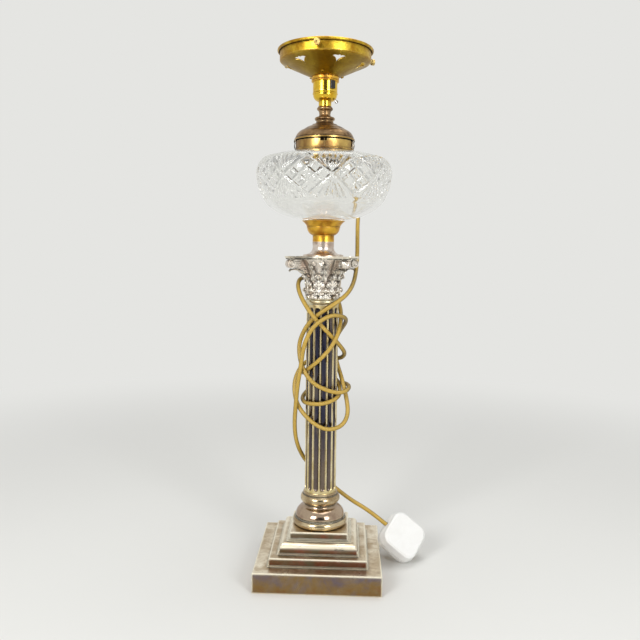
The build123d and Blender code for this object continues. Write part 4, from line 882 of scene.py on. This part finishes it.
# ---- Plated column ---------------------------------------------------------------------------
class LAMP_OT_column(bpy.types.Operator):
    """Give the base, shaft and rings their worn silver plate"""

    bl_idname = "lamp.column"
    bl_label = "Plate the Column"

    # Heights of the joints between the rings of the column's foot.
    ring_joints = (0.0557, 0.0645, 0.0657, 0.0812, 0.0925)

    def panels(self, tree, colour, rough):
        """Painted shade on the uprights between the base's rubbed edges, darker and browner in tarnish
        tones, and a painted highlight on the cove.
        """
        facing = upward(tree)
        # Painted shade: faces that stand straight up are darkened, in tarnish tones.
        upright_shade = falls(tree, calc(tree, "ABSOLUTE", facing), 0.15, 0.6)
        cloud = noise(tree, 17.0, 6.0, 0.62, 1.2)
        plinth = blend(tree, rises(tree, cloud, 0.3, 0.5), tone(126, 74, 36), tone(136, 108, 60))
        plinth = blend(tree, rises(tree, cloud, 0.44, 0.68), plinth, tone(104, 94, 108))
        upper = blend(tree, rises(tree, cloud, 0.4, 0.6), tone(92, 80, 58), tone(122, 66, 46))
        above_plinth = rises(tree, height_here(tree), 0.022, 0.026)
        shade = blend(tree, above_plinth, plinth, upper)
        # Painted highlight: faces that slope up are lightened to near-white.
        cove = between(tree, facing, (0.12, 0.3), (0.8, 0.97))
        colour = tint(tree, colour, tone(255, 246, 222), cove, 0.75)
        return tint(tree, colour, shade, upright_shade, 0.9), rough

    def bell(self, tree, colour, rough):
        """Pinkish brown on the foot's bell, and dark lines at the joints of its rings."""
        soil_and_shade = bpy.context.scene.lamp_finishes.silver_dark
        height = height_here(tree)
        band = between(tree, height, (0.0655, 0.068), (0.078, 0.081))
        colour = tint(tree, colour, tone(162, 138, 126), band, 0.6)
        for joint in self.ring_joints:
            colour = tint(tree, colour, soil_and_shade, thin_line(tree, height, joint), 0.85)
        return colour, calc(tree, "MULTIPLY_ADD", band, -0.08, rough)

    def flutes(self, tree, colour, rough):
        """Blue-black in the flutes, which is dark tarnish and a painted dark reflection, and
        olive-gold on the arrises between them.
        """
        sunk = rises(tree, calc(tree, "SUBTRACT", SHAFT_RADIUS, radius_here(tree)), 0.0003, 0.0015)
        gold = blend(tree, 0.55, colour, tone(216, 196, 134))
        streaks = noise(tree, 1.0, 4.0, 0.6, 0.3, stretched(tree, (60.0, 60.0, 9.0)))
        bottom = blend(tree, rises(tree, streaks, 0.46, 0.68),
                       bpy.context.scene.lamp_finishes.flute, tone(112, 100, 88))
        low = falls(tree, height_here(tree), 0.115, 0.19)
        bottom = tint(tree, bottom, tone(120, 104, 92), low, 0.55)
        rough = calc(tree, "MULTIPLY_ADD", sunk, -0.08, rough)
        # Painted reflection: the flutes' blue-black stands for tarnish and for the dark room that they
        # mirror.
        return tint(tree, gold, bottom, sunk, 0.95), rough

    def execute(self, context):
        colours = context.scene.lamp_finishes
        plate = partial(metal, dark=colours.silver_dark, worn=colours.silver_worn)
        # Painted highlight: the base's wide, strong edge mask lays bright frames round its panels,
        # over its wear.
        dress(plate(
            "Worn plate on the base", base=colours.silver, stain=colours.silver_tarnish,
            patches=(38.0, 0.55, 0.14), edge=(0.003, 18.0), crevice=(0.004, 2.4),
            rough=(0.26, 0.36), pits=0.12, paint=self.panels), "base_casting")
        dress(plate(
            "Worn plate on the column's foot", base=tone(214, 196, 160), stain=tone(150, 126, 92),
            patches=(60.0, 0.5, 0.1), edge=(0.0008, 7.0), crevice=(0.0024, 5.0),
            rough=(0.16, 0.3), pits=0.15, paint=self.bell), "column_base")
        dress(plate(
            "Worn plate on the shaft", base=colours.silver, stain=tone(176, 156, 104),
            patches=(55.0, 0.5, 0.1), edge=(0.0004, 5.0), crevice=(0.002, 0.8),
            rough=(0.22, 0.4), paint=self.flutes), "column_shaft")
        dress(plate(
            "Bright plate", base=tone(228, 222, 190), stain=tone(176, 158, 122),
            patches=(70.0, 0.45, 0.1), edge=(0.0006, 6.0), crevice=(0.004, 2.0),
            rough=(0.24, 0.36), pits=0.3), "neck_ring")
        dress(plate(
            "Rubbed plate on the socket", base=tone(232, 220, 208), stain=tone(164, 138, 118),
            patches=(80.0, 0.5, 0.12), edge=(0.0006, 7.0), crevice=(0.004, 2.2),
            rough=(0.22, 0.34), pits=0.45), "font_socket")
        return {"FINISHED"}


# ---- Carved capital --------------------------------------------------------------------------
class LAMP_OT_capital(bpy.types.Operator):
    """Carve the capital's leaves and scrolls, and give it and the abacus their plate"""

    bl_idname = "lamp.capital"
    bl_label = "Finish the Capital"

    # Paths of the leaves that aren't on the bell, as (radius, height) from foot to curled tip.
    corner_path = (
        (0.0212, 0.3480), (0.0236, 0.3512), (0.0282, 0.3562), (0.0330, 0.3592), (0.0380, 0.3601),
        (0.0425, 0.3594), (0.0452, 0.3576), (0.0449, 0.3560))
    stalk_path = (
        (0.0205, 0.3470), (0.0215, 0.3520), (0.0236, 0.3570), (0.0262, 0.3612), (0.0285, 0.3640),
        (0.0305, 0.3650), (0.0312, 0.3638), (0.0306, 0.3626))
    corner_width = 0.0105
    stalk_width = 0.0075
    stalk_turn = math.radians(17)
    # Share of a leaf's full width at shares of its length.
    swell = ((0, 0.12, 0.4, 0.72, 0.9, 1), (0.66, 0.82, 1.0, 0.9, 0.62, 0.34))
    lobes, teeth, side_veins = 3.0, 15.0, 7.0
    upper_tier = 0.0125  # height of the upper tier's veins above the capital's foot
    vein_gap = 0.0021
    points_per_turn = 20

    def veins(self, tree):
        """Height of the leaf veins: rising from each midrib, the upper tier half a pitch round."""
        x, y, height = axes(tree, place(tree))
        above = calc(tree, "GREATER_THAN", height, CAPITAL_Z + self.upper_tier)
        shift = calc(tree, "MULTIPLY_ADD", above, LEAF_PITCH / 2, LEAF_PITCH * 8 - CAPITAL_TURN)
        turned = calc(tree, "ADD", calc(tree, "ARCTAN2", y, x), shift)
        local = calc(tree, "SUBTRACT", calc(tree, "MODULO", turned, LEAF_PITCH), LEAF_PITCH / 2)
        across = times(tree, calc(tree, "ABSOLUTE", local), radius_here(tree))
        slant = calc(tree, "MULTIPLY_ADD", across, -0.9, height)
        wave = calc(tree, "SINE", times(tree, slant, math.tau / self.vein_gap))
        rib = falls(tree, across, 0.0003, 0.0012)
        return calc(tree, "MAXIMUM", calc(tree, "MULTIPLY_ADD", wave, 0.5, 0.5), rib)

    def soiled(self, tree, colour, rough):
        """Dark tarnish and painted shade in the hollows that the leaves' attribute gives."""
        hollow = add(tree, "Attribute", attribute_name="hollow").outputs["Fac"]
        soil_and_shade = bpy.context.scene.lamp_finishes.silver_dark
        # Painted shade over tarnish: the leaves darken where the chased relief sinks.
        return tint(tree, colour, soil_and_shade, rises(tree, hollow, 0.45, 0.95), 0.85), rough

    def banded(self, tree, colour, rough):
        """Painted shade on the lower band of the abacus, broken into marks."""
        # Painted shade: the abacus's lower band is darkened, broken by noise marks.
        lower = falls(tree, height_here(tree), 0.3716, 0.3724)
        marks = rises(tree, noise(tree, 210.0, 2.0, 0.5), 0.36, 0.46)
        soil_and_shade = times(tree, lower, calc(tree, "MULTIPLY_ADD", marks, 0.8, 0.15))
        return blend(tree, soil_and_shade, colour, bpy.context.scene.lamp_finishes.silver_dark), rough

    def chase(self, points, path, width, relief):
        """Points of a flat unit grid laid along the path as a lobed leaf, and how sunk each is."""
        run = lengths_along(path)
        across, share = points[:, 0] * 2, points[:, 1] + 0.5
        side = np.abs(across)
        lobe_phase = math.pi * (self.lobes * share + 0.12)
        lobes = np.abs(np.sin(lobe_phase))
        teeth = np.abs(np.sin(math.pi * self.teeth * share))
        swell = np.interp(share, *self.swell)
        half = width / 2 * swell * (0.62 + 0.31 * lobes + 0.07 * teeth)
        at = np.clip(share - 0.10 * side, 0, 1) * run[-1]
        radius, height = np.interp(at, run, path[:, 0]), np.interp(at, run, path[:, 1])
        step = run[-1] * 0.02
        out_r = np.interp(at + step, run, path[:, 1]) - np.interp(at - step, run, path[:, 1])
        out_z = np.interp(at - step, run, path[:, 0]) - np.interp(at + step, run, path[:, 0])
        length = np.maximum(np.hypot(out_r, out_z), 1e-9)
        rib = np.exp(-(side / 0.09) ** 2)
        veins = np.abs(np.sin(math.pi * (self.side_veins * share - 2.6 * side)))
        cupped = np.sin(lobe_phase) ** 2 * side
        raised = relief * (0.75 * rib + 0.45 * veins * (1 - rib) + 0.55 * cupped - 0.5 * side ** 3)
        radius = radius + raised * out_r / length
        height = height + raised * out_z / length
        turn = across * half / np.maximum(radius, 0.012)
        # How sunk each point is, which the leaves' material darkens as painted shade over tarnish.
        sunk = np.clip(1.15 - raised / relief * 1.3, 0, 1) * (share > 0.02)
        return np.column_stack([radius * np.cos(turn), radius * np.sin(turn), height]), sunk

    def leaf(self, name, path, width, carving):
        """Chased leaf on the +X side, whose path runs in the radial plane from foot to tip."""
        deselect()
        bpy.ops.mesh.primitive_grid_add(
            x_subdivisions=26, y_subdivisions=44, size=1.0, location=(0, 0, 0))
        piece = bpy.context.object
        piece.name = piece.data.name = name
        points, sunk = self.chase(points_of(piece), np.array(path), width, carving.leaf_relief)
        set_points(piece, points)
        mask = piece.data.attributes.new("hollow", "FLOAT", "POINT")
        mask.data.foreach_set("value", sunk.astype(np.float32))
        thicken = piece.modifiers.new("Edge", "SOLIDIFY")
        thicken.thickness = carving.leaf_sheet
        thicken.offset = 0.0
        bpy.ops.object.modifier_apply(modifier="Edge")
        bpy.ops.object.mode_set(mode="EDIT")
        face_outwards()
        bpy.ops.object.mode_set(mode="OBJECT")
        bpy.ops.object.shade_smooth_by_angle(angle=math.radians(55))
        return piece

    def scroll(self, name, centre, radii, turns, side, faces_out, bead):
        """Bead that winds inwards in a spiral: side turns it, faces_out lays it across the X axis."""
        count = round(turns * self.points_per_turn)
        points = []
        for index in range(count + 1):
            share = index / count
            angle = math.pi / 2 - side * share * turns * math.tau
            radius = radii[0] + (radii[1] - radii[0]) * share
            flat, rise = radius * math.cos(angle), radius * math.sin(angle)
            x, y = (0.0, flat) if faces_out else (flat, 0.0)
            points.append((centre[0] + x, centre[1] + y, centre[2] + rise))
        pick(new_curve(name, "POLY", points, bead, 2)[0])
        bpy.ops.object.convert(target="MESH")
        bpy.ops.object.shade_smooth()
        return bpy.context.object

    def around(self, piece, count, start):
        """Copies of the piece, each with its own mesh, turned round the lamp's axis."""
        found = []
        for index in range(count):
            pick(piece)
            bpy.ops.object.duplicate()
            copy = bpy.context.object
            copy.name = copy.data.name = f"{piece.name}_{index + 1}"
            copy.matrix_world = Matrix.Rotation(start + math.tau * index / count, 4, "Z")
            bpy.ops.object.transform_apply(location=True, rotation=True, scale=True)
            found.append(copy)
        bpy.data.objects.remove(piece)
        return found

    def bell(self, share):
        """Radius of the capital's bell at a share of its height."""
        return 0.0176 + 0.0104 * (max(0.0, share - 0.25) / 0.75) ** 2

    def leaf_path(self, foot_share, tip_share, reach):
        """Path of a leaf over the cast one: up the bell, out, over its tip and back."""
        foot = CAPITAL_Z + foot_share * CAPITAL_HEIGHT
        tip = CAPITAL_Z + tip_share * CAPITAL_HEIGHT
        skin, neck = self.bell(foot_share) + 0.0015, self.bell(tip_share) + 0.0006
        points = [(skin, foot + 0.0003), (skin + 0.0003, tip - 0.6 * (tip - foot))]
        curl = ((0.0, 1.4), (0.4, 1.08), (0.8, 1.16), (1.12, 0.85), (0.98, 0.3))
        points += [(neck + out * reach, tip - down * reach) for out, down in curl]
        return points + [(neck + 0.6 * reach, tip + 0.0003)]

    def carve(self, carving):
        """Leaves of both tiers, leaves under the corner scrolls, and the beads on the scrolls."""
        width, bead = carving.leaf_width, carving.scroll_bead
        corners = CAPITAL_TURN + LEAF_PITCH
        upper = self.leaf("upper_leaf", self.leaf_path(0.12, 0.62, 0.0034), width, carving)
        lower = self.leaf("lower_leaf", self.leaf_path(0.0, 0.27, 0.0036), width * 0.94, carving)
        corner = self.leaf("corner_leaf", self.corner_path, self.corner_width, carving)
        pieces = []
        for name, turn in (("stalk_leaf", self.stalk_turn), ("stalk_leaf_far", -self.stalk_turn)):
            stalk = self.leaf(name, self.stalk_path, self.stalk_width, carving)
            pieces += self.around(stalk, 4, CAPITAL_TURN + turn)
        pieces += self.around(upper, 8, CAPITAL_TURN)
        pieces += self.around(lower, 8, CAPITAL_TURN + LEAF_PITCH / 2)
        pieces += self.around(corner, 4, corners)
        for letter, side in (("b", 1), ("a", -1)):
            large = self.scroll(f"corner_scroll_{letter}", (0.0431, side * 0.0036, 0.3655),
                                (0.0044, 0.0015), 1.9, 1, False, bead)
            pieces += self.around(large, 4, corners)
            small = self.scroll(f"side_scroll_{letter}", (0.0266, side * 0.0044, 0.366),
                                (0.0023, 0.0006), 1.5, side, True, bead * 0.8)
            pieces += self.around(small, 4, CAPITAL_TURN)
        return pieces

    def execute(self, context):
        colours = context.scene.lamp_finishes
        plate = partial(metal, dark=colours.silver_dark, worn=colours.silver_worn)
        dress(plate(
            "Worn plate on the capital", base=tone(242, 234, 222), stain=tone(200, 180, 164),
            patches=(80.0, 0.4, 0.1), edge=(0.0005, 7.0), crevice=(0.0024, 1.5),
            rough=(0.22, 0.34), pits=0.1, relief=(self.veins, 0.00035, 0.7)), "capital")
        chased = plate(
            "Worn plate on the leaves", base=tone(255, 250, 240), stain=tone(222, 204, 182),
            patches=(90.0, 0.4, 0.1), edge=(0.0004, 5.0), crevice=(0.0018, 2.0),
            rough=(0.36, 0.46), pits=0.05, paint=self.soiled)
        for piece in self.carve(context.scene.lamp_carving):
            piece.data.materials.append(chased)
            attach(piece, "lamp")
        dress(plate(
            "Worn plate on the abacus", base=tone(246, 240, 224), stain=tone(190, 172, 144),
            patches=(60.0, 0.45, 0.1), edge=(0.0011, 12.0), crevice=(0.004, 1.2),
            rough=(0.2, 0.34), pits=0.15, paint=self.banded), "abacus")
        return {"FINISHED"}


# ---- Brass fittings --------------------------------------------------------------------------
class LAMP_OT_brass(bpy.types.Operator):
    """Give the cup, adaptor, lampholder, rings, gallery and screws their brasses"""

    bl_idname = "lamp.brass"
    bl_label = "Finish the Brass"

    soil_and_shade = tone(38, 24, 12)
    rubbed = tone(252, 226, 150)

    def shaded_cone(self, tree, colour, rough):
        """Painted shade: a darker, greener underside of the gallery's cone."""
        # Painted shade on faces of the cone that look down.
        under = falls(tree, upward(tree), -0.4, 0.1)
        cone = times(tree, falls(tree, height_here(tree), 0.5895, 0.592), under)
        return tint(tree, colour, tone(134, 108, 16), cone, 0.7), rough

    def gilt_lip(self, tree, colour, rough):
        """Rubbed gold along the dome's lip, with a dark line above it."""
        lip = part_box("adaptor_dome")[0][2]
        height = height_here(tree)
        gold = falls(tree, height, lip + 0.0008, lip + 0.0016)
        colour = tint(tree, colour, tone(176, 140, 66), gold, 0.8)
        return tint(tree, colour, self.soil_and_shade, thin_line(tree, height, lip + 0.0026), 0.7), rough

    def execute(self, context):
        colours = context.scene.lamp_finishes
        brass = partial(metal, dark=self.soil_and_shade, worn=self.rubbed)
        dress(brass(
            "Antique brass of the gallery", base=colours.brass_antique, stain=tone(156, 110, 24),
            patches=(58.0, 0.6, 0.15), edge=(0.0007, 8.0), crevice=(0.004, 2.0),
            rough=(0.26, 0.42), pits=0.62, paint=self.shaded_cone), "gallery", "gallery_rivets")
        dress(brass(
            "Gilt brass of the cup", base=tone(228, 180, 66), stain=tone(172, 116, 40),
            patches=(60.0, 0.45, 0.1), edge=(0.0006, 6.0), crevice=(0.004, 1.8),
            rough=(0.3, 0.42), pits=0.25), "font_cup", "shade_ring_lower", "shade_ring_upper")
        dress(brass(
            "Pale brass of the thumbscrews", base=tone(204, 178, 112), stain=tone(150, 118, 62),
            patches=(120.0, 0.42, 0.1), edge=(0.0004, 4.0), crevice=(0.0012, 1.6),
            rough=(0.46, 0.6), pits=0.2), "thumbscrew_front", "thumbscrew_right", "thumbscrew_left")
        dress(brass(
            "Polished brass of the lampholder", base=colours.brass, stain=tone(208, 156, 30),
            dark=colours.brass_brown, patches=(90.0, 0.35, 0.1), edge=(0.0005, 4.0),
            crevice=(0.003, 1.2), rough=(0.16, 0.26)),
            "holder_cap", "holder_barrel", "holder_liner", "plunger_left", "plunger_right",
            "threaded_nipple", "plug_earth_pin", "plug_line_pins")
        dress(brass(
            "Bronzed brass of the adaptor", base=colours.bronze, stain=tone(98, 74, 50),
            worn=tone(210, 184, 134), patches=(46.0, 0.5, 0.1), edge=(0.0008, 6.0),
            crevice=(0.004, 1.6), rough=(0.28, 0.42), pits=0.3, paint=self.gilt_lip),
            "adaptor_dome", "adaptor_stem")
        # Painted shadow: the skirt is near-black dark bronze, so that the gap under the dome's lip
        # reads as a black shadow line.
        dress(brass(
            "Dark bronze of the skirt", base=tone(30, 24, 18), stain=tone(16, 13, 10),
            worn=colours.brass_brown, patches=(60.0, 0.5, 0.1), edge=(0.0004, 3.0),
            crevice=(0.003, 1.5), rough=(0.4, 0.55), pits=0.2), "adaptor_skirt")
        dress(brass(
            "Golden-brown brass of the collar", base=tone(214, 182, 106), stain=tone(122, 86, 52),
            worn=tone(226, 200, 140), patches=(26.0, 0.6, 0.12), edge=(0.0006, 6.0),
            crevice=(0.003, 1.6), rough=(0.28, 0.42), pits=0.25), "bayonet_collar")
        return {"FINISHED"}


# ---- Hardware, mouldings and base pad --------------------------------------------------------
class LAMP_OT_hardware(bpy.types.Operator):
    """Finish the steel, iron, baize and the dark and white mouldings"""

    bl_idname = "lamp.hardware"
    bl_label = "Finish the Hardware"

    def moulding(self, name, colour, dust, rough):
        """Plain moulding, dusty in patches and hollows, with a fine grain."""
        material, tree, shader = new_material(name)
        soil_and_shade = use(tree, "Patches", Scale=70.0, Share=0.4, Softness=0.25)["Mask"]
        hollow = use(tree, "Crevice", Reach=0.002, Gain=0.7)["Mask"]
        toned = tint(tree, colour, dust, soil_and_shade, 0.12)
        put(tree, shader.inputs["Base Color"], tint(tree, toned, dust, hollow, 0.5))
        put(tree, shader.inputs["Roughness"], calc(tree, "MULTIPLY_ADD", soil_and_shade, 0.1, rough))
        raise_height(tree, shader, noise(tree, 900.0, 3.0), 0.00004, 0.3)
        return material

    def baize(self, colour):
        """Felted wool with a fine nap."""
        material, tree, shader = new_material("Green baize", Roughness=0.95, Sheen_Weight=0.4)
        nap = noise(tree, 1400.0, 5.0, 0.7)
        shown = blend(tree, rises(tree, nap, 0.35, 0.65), darker(colour, 0.5), colour)
        put(tree, shader.inputs["Base Color"], shown)
        raise_height(tree, shader, nap, 0.0004, 0.8)
        return material

    def execute(self, context):
        colours = context.scene.lamp_finishes
        dress(metal(
            "Dulled steel", base=tone(120, 112, 100), stain=tone(70, 60, 50),
            dark=tone(24, 22, 20), worn=tone(190, 184, 170), patches=(150.0, 0.5, 0.1),
            edge=(0.0003, 4.0), crevice=(0.0015, 1.2), rough=(0.3, 0.45), pits=0.2),
            "collar_springs")
        dress(metal(
            "Bright steel", base=colours.steel, stain=tone(128, 122, 114), dark=tone(40, 36, 32),
            worn=tone(236, 234, 230), patches=(150.0, 0.4, 0.1), edge=(0.0003, 4.0),
            crevice=(0.0015, 1.2), rough=(0.2, 0.34), pits=0.15),
            "nipple_nut", "earth_screw", "plug_screw", "rod_washer", "rod_nut", "tie_rod",
            "spring_left", "spring_right")
        dress(metal(
            "Cast iron", base=colours.iron, stain=tone(92, 60, 42), dark=tone(20, 18, 17),
            worn=tone(110, 104, 98), patches=(60.0, 0.45, 0.1), edge=(0.0008, 3.0),
            crevice=(0.004, 1.0), rough=(0.5, 0.7), pits=0.6), "base_ballast")
        dress(self.baize(colours.felt), "base_pad")
        dark = self.moulding("Dark moulding", colours.moulding_dark, tone(70, 58, 46), 0.3)
        dress(dark, "holder_insert", "switch_bar", "flex_bush")
        white = self.moulding("White moulding", colours.moulding_white, tone(176, 170, 156), 0.32)
        dress(white, "plug_base", "plug_cover")
        for side in ("left", "right"):
            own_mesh(bpy.data.objects[f"spring_{side}"])
        return {"FINISHED"}


# ---- Panel and start -------------------------------------------------------------------------
STEPS = (
    LAMP_OT_stage, LAMP_OT_flex, LAMP_OT_font, LAMP_OT_column, LAMP_OT_capital, LAMP_OT_brass,
    LAMP_OT_hardware)


class LAMP_PT_panel(bpy.types.Panel):
    """Colours, sizes and steps of the lamp"""

    bl_idname = "LAMP_PT_panel"
    bl_label = "Column Table Lamp"
    bl_space_type = "VIEW_3D"
    bl_region_type = "UI"
    bl_category = "Lamp"

    def draw(self, context):
        scene = context.scene
        for settings in (scene.lamp_finishes, scene.lamp_cuts, scene.lamp_carving, scene.lamp_stage):
            box = self.layout.box()
            for name in settings.__annotations__:
                box.prop(settings, name)
        for step in STEPS:
            self.layout.operator(step.bl_idname)


CLASSES = (LampFinishes, FontCuts, CapitalCarving, StudioStage, *STEPS, LAMP_PT_panel)
SETTINGS = {
    "lamp_finishes": LampFinishes, "lamp_cuts": FontCuts, "lamp_carving": CapitalCarving,
    "lamp_stage": StudioStage}


def register():
    for kind in CLASSES:
        bpy.utils.register_class(kind)
    for name, kind in SETTINGS.items():
        setattr(bpy.types.Scene, name, PointerProperty(type=kind))


def unregister():
    for name in SETTINGS:
        delattr(bpy.types.Scene, name)
    for kind in reversed(CLASSES):
        bpy.utils.unregister_class(kind)


def main():
    register()
    bpy.ops.lamp.stage()
    bpy.ops.lamp.flex()
    bpy.ops.lamp.font()
    bpy.ops.lamp.column()
    bpy.ops.lamp.capital()
    bpy.ops.lamp.brass()
    bpy.ops.lamp.hardware()


if __name__ == "__main__":
    main()
